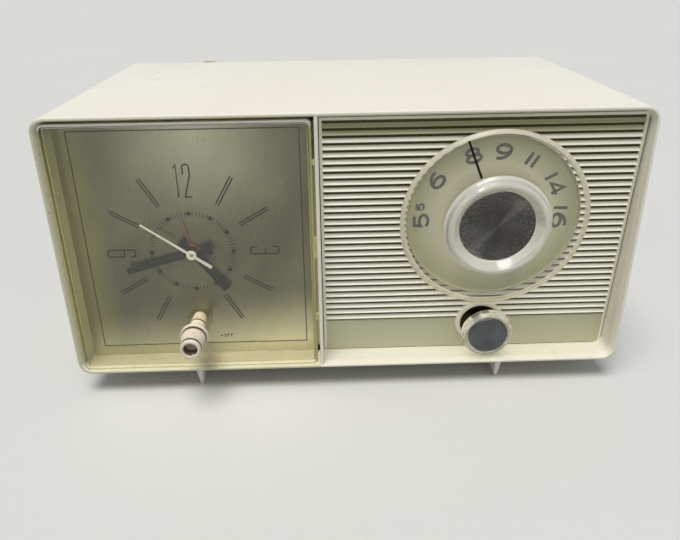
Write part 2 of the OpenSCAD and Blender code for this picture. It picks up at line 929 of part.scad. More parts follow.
module selector_knob() {
    front = dial_y + selector_reach;
    back = front - selector_l;
    color("ivory") at_clock(selector_at) difference() {
        union() {
            translate([0, 0, back]) cylinder(r = flange_r, h = flange_t);
            translate([0, 0, back]) cylinder(r = grip_r, h = selector_l);
            translate([0, 0, front - front_ring_t]) cylinder(r = front_ring_r, h = front_ring_t);
        }
        translate([0, 0, front - cup_l]) cylinder(r = cup_r, h = cup_l + 1);
        translate([0, 0, back - 1]) cylinder(r = selector_r + glue, h = selector_l - selector_cap + 1);
    }
}

module selector_shaft() {
    color("silver") at_clock(selector_at, selector_end)
        cylinder(r = selector_r, h = dial_y + selector_reach - selector_cap - gap - selector_end);
}

module selector_cam() {
    color("ivory") at_clock(selector_at, cam_z) difference() {
        union() {
            cylinder(r = cam_r - cam_lift, h = cam_t);
            intersection() {
                cylinder(r = cam_r, h = cam_t);
                translate([0, -cam_r, 0]) cube([cam_r, 2 * cam_r, cam_t]);
            }
        }
        translate([0, 0, -1]) cylinder(r = selector_r + glue, h = cam_t + 2);
    }
}

module radio_switch() {
    top = -selector_drop - cam_r - button_l;
    inset = 0.5;
    color("saddlebrown") at_clock() {
        translate([-switch_w / 2, top - switch_h, back_plate - switch_t])
            cube([switch_w, switch_h, switch_t]);
        translate([-button_w / 2, top - 1, cam_z + inset])
            cube([button_w, button_l + 1 - gap, cam_t - 2 * inset]);
    }
}

// Tuning

module scale_plate() {
    color("palegoldenrod") at_panel([tune_x, tune_s]) ring(scale_r, scale_hole_r, scale_t);
}

module tuning_knob() {
    bore = tune_shaft_r + glue;
    skirt_in = tune_r - skirt_t;
    seat = insert_r + glue;
    color("khaki", 0.4) at_panel([tune_x, tune_s]) rotate_extrude() polygon([
        [bore, scale_t + 1], [tune_boss_r, scale_t + 1], [tune_boss_r, tune_roof], [skirt_in, tune_roof],
        [skirt_in, skirt_back], [tune_r, skirt_back], [tune_r, tune_face - rim_bevel],
        [tune_r - rim_bevel, tune_face], [hub_r + 1, tune_face], [hub_r, hub_top - 1], [hub_r - 1, hub_top],
        [seat, hub_top], [seat, insert_z], [0, insert_z], [0, tune_bore_end], [bore, tune_bore_end]]);
}

module tuning_insert() {
    color("dimgray") at_panel([tune_x, tune_s], insert_z) cylinder(r = insert_r, h = insert_t);
}

module tuning_shaft() {
    end = frame_front - frame_l - tune_shaft_tail;
    color("silver") at_panel([tune_x, tune_s], end) cylinder(r = tune_shaft_r, h = tune_bore_end - end);
}

// Level of a rotor vane's back face
function vane_z(i) = frame_front - vane_start - vane_pitch * i;

module tuning_rotor() {
    last = vane_z(vane_count - 1) - 1;
    color("silver") at_panel([tune_x, tune_s]) difference() {
        union() {
            translate([0, 0, last]) cylinder(r = rotor_hub_r, h = vane_z(0) + 2 - last);
            for (i = [0 : vane_count - 1]) translate([0, 0, vane_z(i)]) intersection() {
                cylinder(r = vane_r, h = vane_t);
                translate([-vane_r, -1, 0]) cube([vane_r, vane_r + 1, vane_t]);
            }
        }
        translate([0, 0, last - 1]) cylinder(r = tune_shaft_r + glue, h = -last);
    }
}

module tuning_stator() {
    color("gainsboro") at_panel([tune_x, tune_s]) {
        for (i = [0 : vane_count - 2]) translate([0, 0, vane_z(i) - vane_pitch / 2]) difference() {
            translate([1 - vane_r, -vane_r - stator_drop, 0])
                cube([2 * vane_r - 2, vane_r + stator_drop - 1, vane_t]);
            translate([0, 0, -1]) cylinder(r = rotor_hub_r + 1.5, h = vane_t + 2);
        }
        for (x = [stator_drop - vane_r, vane_r - stator_drop])
            translate([x, -vane_r - stator_drop / 2, frame_front - frame_l + plate_t])
            cylinder(r = stator_rod_r, h = frame_l - 2 * plate_t);
    }
}

module tuning_frame() {
    color("silver") at_panel([tune_x, tune_s]) difference() {
        union() {
            for (z = [frame_front - plate_t, frame_front - frame_l])
                translate([-frame_w / 2, -frame_h / 2, z]) cube([frame_w, frame_h, plate_t]);
            for (y = [-frame_h / 2, frame_h / 2 - plate_t])
                translate([-frame_w / 2, y, frame_front - frame_l]) cube([frame_w, plate_t, frame_l]);
        }
        translate([0, 0, frame_front - frame_l - 1]) cylinder(r = tune_shaft_r + fit, h = frame_l + 2);
    }
}

// Volume

module volume_knob() {
    bore = tune_shaft_r + glue;
    seat = vol_insert_r + glue;
    color("khaki", 0.4) at_panel([vol_x, vol_s]) rotate_extrude() polygon([
        [bore, vol_back], [vol_r - 1, vol_back], [vol_r, vol_back + 1], [vol_r, vol_front - vol_bevel],
        [vol_r - vol_bevel / 2, vol_front], [seat, vol_front], [seat, vol_insert_z], [0, vol_insert_z],
        [0, vol_bore_end], [bore, vol_bore_end]]);
}

module volume_insert() {
    color("dimgray") at_panel([vol_x, vol_s], vol_insert_z) cylinder(r = vol_insert_r, h = insert_t);
}

module volume_shaft() {
    end = -panel_t - vol_shaft_tail;
    color("silver") at_panel([vol_x, vol_s], end) cylinder(r = tune_shaft_r, h = vol_bore_end - end);
}

module volume_bracket() {
    color("silver") at_panel([vol_x, vol_s], -panel_t - plate_t) difference() {
        translate([-bracket_half, bracket_low - vol_ring_r, 0]) cube([2 * bracket_half, bracket_h, plate_t]);
        translate([0, 0, -1]) cylinder(r = bush_r + glue, h = plate_t + 2);
    }
}

module volume_control() {
    back = -panel_t - plate_t;
    color("dimgray") at_panel([vol_x, vol_s]) difference() {
        union() {
            translate([0, 0, back - pot_l]) cylinder(r = pot_r, h = pot_l);
            translate([0, 0, back - 1]) cylinder(r = bush_r, h = bush_end - back + 1);
            translate([0, 0, back + plate_t]) cylinder(r = nut_r, h = nut_t, $fn = 6);
        }
        translate([0, 0, -panel_t - vol_shaft_tail - gap]) cylinder(r = tune_shaft_r + fit, h = 2 * pot_l);
    }
}

// Loudspeaker

module at_speaker(z = 0) {
    at_panel([speaker_x, speaker_s], -rib_back + z) children();
}

module speaker_frame() {
    color("dimgray") at_speaker() difference() {
        union() {
            translate([0, 0, -plate_t]) ring(speaker_r, cone_r, plate_t);
            difference() {
                translate([0, 0, -plate_t]) speaker_ears(ear_tip_r, plate_t);
                translate([0, 0, -plate_t - 1]) cylinder(r = cone_r + 1, h = plate_t + 2);
            }
            rotate_extrude() polygon([[speaker_r - 1.5, -1], [speaker_r - 0.5, -1],
                [magnet_r + 1.5, -basket_l - 1], [0, -basket_l - 1],
                [0, -basket_l], [magnet_r + 1, -basket_l]]);
        }
        translate([0, 0, -plate_t - 1]) speaker_ears(screw_r + fit, plate_t + 2);
    }
}

module speaker_cone() {
    rim = -plate_t;
    edge = speaker_r - 3;
    color("black") at_speaker() rotate_extrude() polygon([
        [0, -cap_l], [voice_r, -cone_l], [voice_r + 2, -cone_l - cone_t], [cone_r, rim - cone_t],
        [edge, rim - cone_t], [edge, rim], [cone_r - 1, rim],
        [voice_r + 2, -cone_l], [voice_r, cone_t - cone_l], [0, cone_t - cap_l]]);
}

module speaker_magnet() {
    color("gray") at_speaker(-basket_l - 1 - magnet_l) cylinder(r = magnet_r, h = magnet_l);
}

module speaker_screws() {
    color("silver") at_speaker(-plate_t) for (a = [45 : 90 : 315]) rotate([0, 0, a]) translate([ear_r, 0, 0])
        rotate([180, 0, 0]) {
            cylinder(r = speaker_head_r, h = speaker_head_t);
            translate([0, 0, -plate_t - speaker_screw_l])
                cylinder(r = screw_r, h = plate_t + speaker_screw_l);
        }
}

// Radio circuit

module circuit_board() {
    color("peru") placed() difference() {
        translate([board_x, board_y, board_z]) cube([board_w, board_l, board_t]);
        for (p = board_screws) translate([p[0], p[1], board_z - 1])
            cylinder(r = screw_r + screw_play, h = board_t + 2);
    }
}

module on_board(x, y) {
    placed() translate([board_x + x, board_y + y, board_top]) children();
}

module coil_cans() {
    color("silver") for (i = [0 : 2]) on_board(can_x + can_pitch * i, can_y) cube(can_size);
}

module filter_capacitors() {
    color("steelblue") for (i = [0 : 1]) on_board(capacitor_x, capacitor_y + can_pitch * i)
        cylinder(r = capacitor_r, h = capacitor_h);
}

module transformer_core() {
    color("dimgray") on_board(core_x, core_y) difference() {
        cube([6 * core_leg, core_l, core_h]);
        for (x = [core_leg, 4 * core_leg]) translate([x, -1, core_leg])
            cube([core_leg, core_l + 2, core_h - 2 * core_leg]);
    }
}

module transformer_winding() {
    h = core_h - 2 * core_leg;
    color("firebrick") on_board(core_x, core_y) difference() {
        translate([core_leg + glue, -core_wrap, core_leg + glue])
            cube([4 * core_leg - 2 * glue, core_l + 2 * core_wrap, h - 2 * glue]);
        translate([2 * core_leg - glue, -glue, core_leg - 1])
            cube([2 * core_leg + 2 * glue, core_l + 2 * glue, h + 2]);
    }
}

module ferrite_rod() {
    color("dimgray") placed() translate([rod_x - rod_l / 2, rod_y, rod_z]) rotate([0, 90, 0])
        cylinder(r = rod_r, h = rod_l);
}

module antenna_coil() {
    color("peru") placed() translate([rod_x - rod_coil_l / 2, rod_y, rod_z]) rotate([0, 90, 0])
        ring(rod_coil_r, rod_r + glue, rod_coil_l);
}

cabinet_shell();
louvre_panel();
left_foot();
right_foot();
rear_cover();
case_screws();
cord_gland();
clock_crystal();
clock_dial();
hour_hand();
minute_hand();
second_hand();
alarm_hand();
movement_front_plate();
movement_back_plate();
movement_pillars();
motor_can();
motor_core();
motor_coil();
motor_pinion();
second_wheel();
third_wheel();
centre_wheel();
cannon_pinion();
minute_wheel();
hour_wheel();
set_idler();
set_shaft();
time_set_knob();
alarm_wheel();
alarm_set_shaft();
alarm_set_knob();
selector_knob();
selector_shaft();
selector_cam();
radio_switch();
scale_plate();
tuning_knob();
tuning_insert();
tuning_shaft();
tuning_rotor();
tuning_stator();
tuning_frame();
volume_knob();
volume_insert();
volume_shaft();
volume_control();
volume_bracket();
speaker_frame();
speaker_cone();
speaker_magnet();
speaker_screws();
circuit_board();
coil_cans();
filter_capacitors();
transformer_core();
transformer_winding();
ferrite_rod();
antenna_coil();
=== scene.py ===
import json
import math
import random

import bmesh
import bpy
from mathutils import Matrix, Vector


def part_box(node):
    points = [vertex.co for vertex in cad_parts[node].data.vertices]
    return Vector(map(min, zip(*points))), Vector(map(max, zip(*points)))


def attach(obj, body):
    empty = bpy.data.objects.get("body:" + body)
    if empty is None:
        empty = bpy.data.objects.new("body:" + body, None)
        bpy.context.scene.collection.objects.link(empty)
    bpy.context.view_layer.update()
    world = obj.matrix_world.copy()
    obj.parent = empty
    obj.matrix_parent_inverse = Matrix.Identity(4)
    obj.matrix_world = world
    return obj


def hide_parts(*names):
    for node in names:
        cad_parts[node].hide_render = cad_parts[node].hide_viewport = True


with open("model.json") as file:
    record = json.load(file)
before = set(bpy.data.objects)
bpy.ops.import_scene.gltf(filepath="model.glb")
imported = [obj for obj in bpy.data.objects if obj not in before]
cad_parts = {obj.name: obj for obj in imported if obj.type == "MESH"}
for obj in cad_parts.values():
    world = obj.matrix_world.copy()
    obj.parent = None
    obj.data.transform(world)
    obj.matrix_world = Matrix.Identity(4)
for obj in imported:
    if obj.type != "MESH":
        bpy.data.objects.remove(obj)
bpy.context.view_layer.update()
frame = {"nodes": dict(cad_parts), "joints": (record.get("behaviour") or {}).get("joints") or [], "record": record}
random.seed(7)

# Sizes. Meshes are made in millimetres and brought to metres as they become pieces.

MM = 0.001
TURN = 2 * math.pi
TINY = 1e-6

CABINET_LOW, CABINET_HIGH = (Vector(corner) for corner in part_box("cabinet_shell"))
HALF_W = CABINET_HIGH.x / MM
TALL = (CABINET_HIGH.z - CABINET_LOW.z) / MM
DEEP = (CABINET_HIGH.y - CABINET_LOW.y) / MM
TAPER = 5.7  # on each side, from front to back
WALL, CORNER_R, LEAST_R = 2.5, 7.0, 1.0
RIM, RIM_DEPTH = 1.3, 3.0
DIVIDER, DIVIDER_FRONT, DIVIDER_BACK = (-15.3, -13.5), 0.2, 26.0

PANEL_LEFT, PANEL_RIGHT = -13.1, 136.49
PANEL_LOW, PANEL_TOP = 2.91, 130.33
PANEL_T = 2.2
SLATS, SLAT_PITCH, SLAT_DEEP, SLIT_W = 31, 3.44, 1.3, 1.3
END_STRIP, TOP_STRIP = 1.4, 1.3
SLIT_TOP = PANEL_TOP - TOP_STRIP


# Frames


def to_case(point):
    """Row frame in metres to millimetres from the front rim and the cabinet floor."""
    return (Vector(point) - Vector((0, CABINET_LOW.y, CABINET_LOW.z))) / MM


CASE = Matrix.Translation((0, CABINET_LOW.y, CABINET_LOW.z))


def facing(joint_name):
    """Frame of a turning piece: z out of its face, y up the face and x to the right."""
    joint = next(j for j in frame["joints"] if j["name"] == joint_name)
    out = Vector(joint["axis"]).normalized()
    right = Vector((1, 0, 0))
    place = Matrix((right, out.cross(right), out)).transposed().to_4x4()
    place.translation = Vector(joint["pos_m"])
    return place


CLOCK = facing("minute_turn")
SELECTOR = facing("selector_turn")
TUNING = facing("tuning_turn")
VOLUME = facing("volume_turn")
TIME_SET = facing("time_set_turn")
ALARM_SET = facing("alarm_set_turn")


# Meshes

CORNER_SHARE = 0.49  # most of a side that one rounded corner takes


def rounded(points, closed=False, steps=5):
    """Outline whose corners, given as (x, y, radius), are rounded off."""
    outline = []
    for i, point in enumerate(points):
        corner = Vector(point[:2])
        loose_end = not closed and i in (0, len(points) - 1)
        if len(point) < 3 or loose_end:
            outline.append(corner)
            continue
        before = Vector(points[i - 1][:2]) - corner
        after = Vector(points[(i + 1) % len(points)][:2]) - corner
        reach = point[2] / math.tan(before.angle(after) / 2)
        reach = min(reach, CORNER_SHARE * before.length, CORNER_SHARE * after.length)
        start = corner + before.normalized() * reach
        end = corner + after.normalized() * reach
        for k in range(steps + 1):
            t = k / steps
            outline.append(start.lerp(corner, t).lerp(corner.lerp(end, t), t))
    return outline


def bridge(bm, first, second):
    """Faces between two rings, or between a ring and a point."""
    n = max(len(first), len(second))
    for k in range(n):
        nxt = (k + 1) % n
        corners = [first[k % len(first)], first[nxt % len(first)]]
        corners += [second[nxt % len(second)], second[k % len(second)]]
        bm.faces.new(list(dict.fromkeys(corners)))


def join(bm, rings):
    """Faces between each ring and the next."""
    for first, second in zip(rings, rings[1:]):
        bridge(bm, first, second)


def loft(bm, rings):
    """Closed solid along a row of rings."""
    join(bm, rings)
    bm.faces.new(rings[0])
    bm.faces.new(list(reversed(rings[-1])))


def turned(bm, points, steps, fillet=4, closed=False, ripple=None, centre=(0, 0)):
    """Turns (radius, height) points round z. ripple(radius, height, angle) is added to the radius."""
    rings = []
    for r, z in rounded(points, closed, fillet):
        ring = []
        for k in range(1 if r < TINY else steps):
            angle = TURN * k / steps
            reach = r + (ripple(r, z, angle) if ripple and r > TINY else 0)
            ring.append(bm.verts.new((centre[0] + reach * math.cos(angle),
                                      centre[1] + reach * math.sin(angle), z)))
        rings.append(ring)
    following = rings[1:] + (rings[:1] if closed else [])
    for first, second in zip(rings, following):
        if len(first) + len(second) > 2:
            bridge(bm, first, second)


def fill(bm, *loops):
    """Flat face inside the first loop of points that leaves the other loops open."""
    edges = []
    for loop in loops:
        for pair in zip(loop, loop[1:] + loop[:1]):
            edges.append(bm.edges.get(pair) or bm.edges.new(pair))
    bmesh.ops.triangle_fill(bm, edges=edges, use_beauty=True)


def slab(bm, outline, low, high, holes=()):
    """Solid of one outline between two heights, with holes through it."""
    bottom, top = ([[bm.verts.new((x, y, z)) for x, y in loop] for loop in (outline, *holes)]
                   for z in (low, high))
    for first, second in zip(bottom, top):
        bridge(bm, first, second)
    for loops in (bottom, top):
        if holes:
            fill(bm, *loops)
        else:
            bm.faces.new(loops[0])


def circle(x, y, r, steps=64):
    return [(x + r * math.cos(TURN * k / steps), y + r * math.sin(TURN * k / steps)) for k in range(steps)]


def rectangle(left, low, right, high, r=0, steps=5):
    """Outline of a rectangle. With a radius its corners are rounded."""
    outline = [(left, low), (right, low), (right, high), (left, high)]
    return rounded([(*corner, r) for corner in outline], True, steps) if r else outline


def box(bm, low, high):
    """Block between two corners."""
    slab(bm, rectangle(*low[:2], *high[:2]), low[2], high[2])


def frame_ring(bm, y, left, right, low, high, r, steps=8):
    """Ring of points round an upright rounded rectangle at depth y."""
    centres = [(right - r, high - r), (left + r, high - r), (left + r, low + r), (right - r, low + r)]
    ring = []
    for quarter, (x, z) in enumerate(centres):
        for k in range(steps + 1):
            angle = math.pi / 2 * (quarter + k / steps)
            ring.append(bm.verts.new((x + r * math.cos(angle), y, z + r * math.sin(angle))))
    return ring


def paint(bm, look, before=0):
    """Sets the finish of all faces after the first few: a number, or look(middle of the face)."""
    bm.faces.ensure_lookup_table()
    for face in bm.faces[before:]:
        face.material_index = look if isinstance(look, int) else look(face.calc_center_median())


def put(name, data):
    """Puts an object in the scene."""
    obj = bpy.data.objects.new(name, data)
    bpy.context.scene.collection.objects.link(obj)
    return obj


def piece(name, bm, looks, body, place=CASE, node=None, smooth=35, bevel=0.0):
    """Makes a mesh a piece that rides on a body. looks names one finish, or several in a tuple."""
    bmesh.ops.recalc_face_normals(bm, faces=bm.faces)
    bmesh.ops.scale(bm, vec=(MM, MM, MM), verts=bm.verts)
    mesh = bpy.data.meshes.new(name)
    bm.to_mesh(mesh)
    bm.free()
    mesh.shade_smooth()
    mesh.set_sharp_from_angle(angle=math.radians(smooth))
    for look in [looks] if isinstance(looks, str) else looks:
        mesh.materials.append(finishes[look])
    obj = put(name, mesh)
    obj.matrix_world = place
    if bevel:
        edge = obj.modifiers.new("edge", "BEVEL")
        edge.width = bevel * MM
        edge.segments = 2
        edge.limit_method = "ANGLE"
        edge.angle_limit = math.radians(40)
    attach(obj, body)
    if node:
        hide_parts(node)
    return obj


# Printed marks. The strokes of a figure fill a box of one by one.

INK_T, INK_OFF = 0.03, 0.05
SHARPEST = 0.5  # least share of a line's width that a sharp bend keeps
DOT_STEPS = 20


def arc(x, y, rx, ry, start, end, steps=14):
    """Points on an ellipse from one angle to another, in degrees."""
    angles = [math.radians(start + (end - start) * k / steps) for k in range(steps + 1)]
    return [(x + rx * math.cos(a), y + ry * math.sin(a)) for a in angles]


def oval(x, y, rx, ry):
    return arc(x, y, rx, ry, 0, 360, 28)


def half_turned(paths):
    return [[(1 - x, 1 - y) for x, y in path] for path in paths]


SIX = [oval(0.5, 0.31, 0.5, 0.31), arc(0.78, 0.31, 0.78, 0.69, 180, 78)]
STROKES = {
    "1": [[(0.5, 0), (0.5, 1)]],
    "4": [[(0.74, 0), (0.74, 1), (0, 0.28), (1, 0.28)]],
    "5": [[(0.92, 1), (0.16, 1), (0.1, 0.55)] + arc(0.48, 0.32, 0.5, 0.32, 140, -150)],
    "6": SIX,
    "8": [oval(0.5, 0.76, 0.42, 0.24), oval(0.5, 0.27, 0.5, 0.27)],
    "9": half_turned(SIX),
    "O": [oval(0.5, 0.5, 0.5, 0.5)],
    "F": [[(0, 0), (0, 1), (0.9, 1)], [(0, 0.52), (0.75, 0.52)]],
}


def stroke(bm, path, width, z):
    """Flat inked line of one width along a path."""
    points = [Vector(p) for p in path]
    looped = (points[0] - points[-1]).length < TINY
    edges = []
    for i, point in enumerate(points):
        before = point - points[i - 1] if i or not looped else point - points[-2]
        after = points[(i + 1) % len(points)] - point
        if i == len(points) - 1:
            after = points[1] - points[0] if looped else before
        if i == 0 and not looped:
            before = after
        side = (before.normalized() + after.normalized()).normalized()
        lean = max(side.dot(after.normalized()), SHARPEST)
        out = Vector((-side.y, side.x)) * width / 2 / lean
        edges.append((bm.verts.new((*(point + out), z)), bm.verts.new((*(point - out), z))))
    for (a, b), (c, d) in zip(edges, edges[1:]):
        bm.faces.new((a, b, d, c))


def dot(bm, x, y, r, z):
    bm.faces.new([bm.verts.new((*point, z)) for point in circle(x, y, r, DOT_STEPS)])


def thicken(bm):
    """Gives flat marks the thickness of their ink."""
    bm.normal_update()
    bmesh.ops.solidify(bm, geom=bm.faces, thickness=INK_T)


def figure(bm, paths, at, weight, turn, z):
    """Draws strokes in millimetres round a point, turned clockwise by an angle in degrees."""
    c, s = math.cos(math.radians(-turn)), math.sin(math.radians(-turn))
    for path in paths:
        stroke(bm, [(at[0] + c * x - s * y, at[1] + s * x + c * y) for x, y in path], weight, z)


def write(bm, text, at, size, weight, turn, z, gap=0.8):
    """Writes plain figures centred on a point."""
    width, height = size
    steps = [0.0 if mark == "1" else width for mark in text]
    x = -(sum(steps) + (weight + gap) * (len(text) - 1)) / 2
    for mark, step in zip(text, steps):
        paths = [[(x + u * step, (v - 0.5) * height) for u, v in path] for path in STROKES[mark]]
        figure(bm, paths, at, weight, turn, z)
        x += step + weight + gap


# Finishes. Lengths in them are metres in the piece's own frame, and noise scales are lumps to the metre.


class Nodes:
    """Makes nodes in one shader tree. A source is a node's socket or a plain value."""

    def __init__(self, tree):
        self.tree = tree

    def feed(self, socket, source):
        if isinstance(source, bpy.types.NodeSocket):
            self.tree.links.new(source, socket)
        else:
            socket.default_value = source

    def node(self, kind, inputs=None, **settings):
        made = self.tree.nodes.new("ShaderNode" + kind)
        for name, value in settings.items():
            setattr(made, name, value)
        for socket, source in (inputs or {}).items():
            self.feed(made.inputs[socket], source)
        return made

    def math(self, operation, first, second=0.0, clamp=False):
        made = self.node("Math", {0: first, 1: second}, operation=operation, use_clamp=clamp)
        return made.outputs["Value"]

    def spread(self, source, low, high, start=0.3, end=0.7):
        """Maps a source from start and end to low and high."""
        inputs = {"Value": source, "From Min": start, "From Max": end, "To Min": low, "To Max": high}
        return self.node("MapRange", inputs).outputs["Result"]

    def seen(self):
        """One for rays that show the stage to the camera, directly or by way of metal and glass."""
        path = self.node("LightPath").outputs
        either = self.math("MAXIMUM", path["Is Camera Ray"], path["Is Glossy Ray"])
        return self.math("MAXIMUM", either, path["Is Transmission Ray"])


class Finish(Nodes):
    """A Principled material whose colour, gloss and relief follow noise."""

    def __init__(self, name, **plain):
        self.name = name
        self.material = bpy.data.materials.new(name)
        self.material.use_nodes = True
        super().__init__(self.material.node_tree)
        self.shader = self.tree.nodes["Principled BSDF"]
        for socket, value in plain.items():
            self.shader.inputs[socket.replace("_", " ")].default_value = value

    def set(self, socket, source):
        self.feed(self.shader.inputs[socket], source)

    def tint(self, source):
        self.set("Base Color", source)

    def gloss(self, source, *levels):
        self.set("Roughness", self.spread(source, *levels))

    def place(self, stretch=(1, 1, 1)):
        where = self.node("TexCoord").outputs["Object"]
        return self.node("Mapping", {"Vector": where, "Scale": stretch}).outputs["Vector"]

    def along(self, axis):
        return self.node("SeparateXYZ", {"Vector": self.place()}).outputs[axis]

    def measure(self, operation, first, second=(0, 0, 0)):
        return self.node("VectorMath", {0: first, 1: second}, operation=operation).outputs["Value"]

    def noise(self, scale, detail=3.0, stretch=(1, 1, 1)):
        """Noise that is drawn out along an axis by a stretch under one."""
        inputs = {"Vector": self.place(stretch), "Scale": scale, "Detail": detail}
        return self.node("TexNoise", inputs).outputs["Fac"]

    def ramp(self, source, *stops):
        made = self.node("ValToRGB", {"Fac": source})
        band = made.color_ramp.elements
        band[0].position, band[0].color = stops[0][0], (*stops[0][1], 1)
        band[1].position, band[1].color = stops[-1][0], (*stops[-1][1], 1)
        for place, colour in stops[1:-1]:
            band.new(place).color = (*colour, 1)
        return made.outputs["Color"]

    def blend(self, factor, first, second):
        made = self.node("Mix", {0: factor}, data_type="RGBA")
        for index, colour in ((6, first), (7, second)):
            self.feed(made.inputs[index], (*colour, 1) if isinstance(colour, tuple) else colour)
        return made.outputs[2]

    def relief(self, source, depth, strength=0.5):
        """Adds bumps of this depth to those already there."""
        inputs = {"Height": source, "Distance": depth, "Strength": strength}
        if self.shader.inputs["Normal"].is_linked:
            inputs["Normal"] = self.shader.inputs["Normal"].links[0].from_socket
        self.set("Normal", self.node("Bump", inputs).outputs["Normal"])

    def let_lamps_through(self, tint):
        """Lamps reach what lies behind: shadow rays pass with a tint, all others bend."""
        shadow = self.node("LightPath").outputs["Is Shadow Ray"]
        passing = self.node("BsdfTransparent", {"Color": (*tint, 1)}).outputs["BSDF"]
        mix = self.node("MixShader", {0: shadow, 1: self.shader.outputs["BSDF"], 2: passing})
        self.feed(self.tree.nodes["Material Output"].inputs["Surface"], mix.outputs["Shader"])


def moulded(name, base, aged, grime, rough=(0.25, 0.4), grime_at=0.74, side=None):
    """Old moulded plastic: yellowed in clouds, with specks of dirt and a faint orange peel.

    With a side, the dirt keeps to the left of it.
    """
    f = Finish(name)
    clouds = f.ramp(f.noise(7, 2), (0.35, base), (0.7, aged))
    specks = f.spread(f.noise(900, 2), 0.0, 0.5, grime_at, grime_at + 0.08)
    if side is not None:
        left = f.spread(f.along("X"), 1.0, 0.0, side - 0.0005, side + 0.0005)
        specks = f.math("MULTIPLY", specks, left)
    f.tint(f.blend(specks, clouds, grime))
    f.gloss(f.noise(60, 4), *rough)
    f.relief(f.noise(450, 2), 0.00004, 0.08)
    return f


def metal(name, low, high, stretch=(1, 1, 1)):
    """Worked metal: tone and gloss drift, with fine tool marks along the stretched axis."""
    f = Finish(name, Metallic=1.0)
    f.tint(f.ramp(f.noise(70, 4), (0.3, low), (0.7, high)))
    marks = f.noise(2200, 3, stretch)
    f.gloss(marks, 0.25, 0.45)
    f.relief(marks, 0.00002, 0.4)
    return f


def coarse(name, low, high, scale, rough=(0.6, 0.85), depth=0.0002, stretch=(1, 1, 1), **plain):
    """Matt stuff with a visible grain, such as board, paper, rubber or tape."""
    f = Finish(name, **plain)
    grain = f.noise(scale, 5, stretch)
    f.tint(f.ramp(grain, (0.35, low), (0.65, high)))
    f.gloss(f.noise(scale / 4, 3), *rough)
    f.relief(grain, depth, 0.5)
    return f


PLASTIC_IOR = 1.49


def clear_plastic(name, colour, passing, rough, clear=1.0, scratches=0.15, shine=0.5):
    """Clear moulding gone slightly yellow, with fine scratches. Below one it is partly milky."""
    f = Finish(name, Transmission_Weight=clear, IOR=PLASTIC_IOR, Specular_IOR_Level=shine)
    yellowed = tuple(0.93 * c for c in colour)
    f.tint(f.ramp(f.noise(25, 3), (0.35, colour), (0.7, yellowed)))
    f.gloss(f.noise(120, 5), *rough, 0.45, 0.75)
    f.relief(f.noise(1400, 4, (1, 1, 0.1)), 0.00001, scratches)
    f.let_lamps_through(passing)
    return f


def crystal_wall():
    """Hazy wall of the crystal: olive at the sides, beige at the foot, nicked along its height."""
    f = Finish("crystal_wall", Transmission_Weight=0.5, IOR=PLASTIC_IOR)
    foot = f.spread(f.along("Z"), 1.0, 0.0, 0.004, 0.012)
    side = f.ramp(f.noise(30, 4, (1, 1, 0.4)), (0.3, (0.60, 0.60, 0.26)), (0.7, (0.80, 0.78, 0.41)))
    sill = f.ramp(f.noise(40, 4, (0.3, 1, 1)), (0.3, (0.44, 0.405, 0.30)), (0.7, (0.55, 0.51, 0.39)))
    nicks = f.spread(f.noise(420, 3, (1, 1, 0.35)), 0.0, 0.8, 0.70, 0.75)
    f.tint(f.blend(nicks, f.blend(foot, side, sill), (0.86, 0.85, 0.74)))
    f.gloss(f.noise(120, 5), 0.16, 0.28, 0.45, 0.75)
    f.let_lamps_through((0.93, 0.92, 0.84))
    return f


def spun_metal(name, low, high, sheen):
    """Dark turned disc: rings round its axis, a stretched sheen, and dust towards the rim."""
    f = Finish(name, Metallic=1.0, Anisotropic=sheen, Anisotropic_Rotation=0.91)
    flat = f.place((1, 1, 0))
    rings = f.node("TexWave", {"Vector": flat, "Scale": 700.0, "Distortion": 0.6, "Detail": 2.0},
                   wave_type="RINGS", rings_direction="Z").outputs["Fac"]
    rim = f.spread(f.measure("LENGTH", flat), 0.0, 0.13, 0.006, 0.0178)
    dust = f.spread(f.math("ADD", f.noise(2000, 2), rim), 0.0, 0.6, 0.69, 0.76)
    tone = f.ramp(f.noise(90, 4), (0.3, low), (0.7, high))
    f.tint(f.blend(dust, tone, (0.46, 0.45, 0.40)))
    f.gloss(rings, 0.5, 0.6, 0.0, 1.0)
    f.set("Tangent", f.node("Tangent", direction_type="RADIAL", axis="Z").outputs["Tangent"])
    f.relief(rings, 0.00001, 0.2)
    return f


def dial_metal():
    """Satin dial plate with painted light: a painted sheen, bright near its top and dull in the middle, painted
    light at its foot, and a yellowed left edge brightened by painted light.
    """
    sheen_at, sheen_reach = (0.006, 0.060, 0), 0.066
    yellow_from, yellow_to = -0.059, -0.039
    foot_from, foot_to, foot_up = -0.058, -0.026, (-0.15, 1, 0)
    f = Finish("dial_metal", Metallic=0.8)
    at = f.place()
    clouds = f.spread(f.noise(26, 3), -0.06, 0.06)
    # Painted sheen: bright near a point high on the plate, dull further off.
    painted_sheen = f.spread(f.measure("DISTANCE", at, sheen_at), 1.0, 0.0, 0.0, sheen_reach)
    plate = f.ramp(f.math("ADD", painted_sheen, clouds), (0.0, (0.118, 0.121, 0.073)), (0.25, (0.15, 0.153, 0.098)),
                   (0.45, (0.235, 0.238, 0.165)), (1.0, (0.57, 0.565, 0.46)))
    # Left edge: yellowing, and painted light that brightens it; aged here carries this edge and the painted sheen.
    yellow_and_painted_light = f.math("ADD", f.spread(f.along("X"), 1.0, 0.0, yellow_from, yellow_to), clouds, clamp=True)
    aged = f.blend(yellow_and_painted_light, plate, (0.27, 0.26, 0.085))
    # Painted light at the foot, rising along a slight slant.
    slant = f.measure("DOT_PRODUCT", at, foot_up)
    painted_foot_light = f.math("POWER", f.spread(slant, 1.0, 0.0, foot_from, foot_to), 1.5)
    foot = f.math("ADD", painted_foot_light, clouds, clamp=True)
    f.tint(f.blend(foot, aged, (0.74, 0.70, 0.47)))
    brush = f.noise(2600, 2, (1, 0.03, 1))
    f.gloss(brush, 0.27, 0.33)
    f.relief(brush, 0.000004, 0.05)
    return f


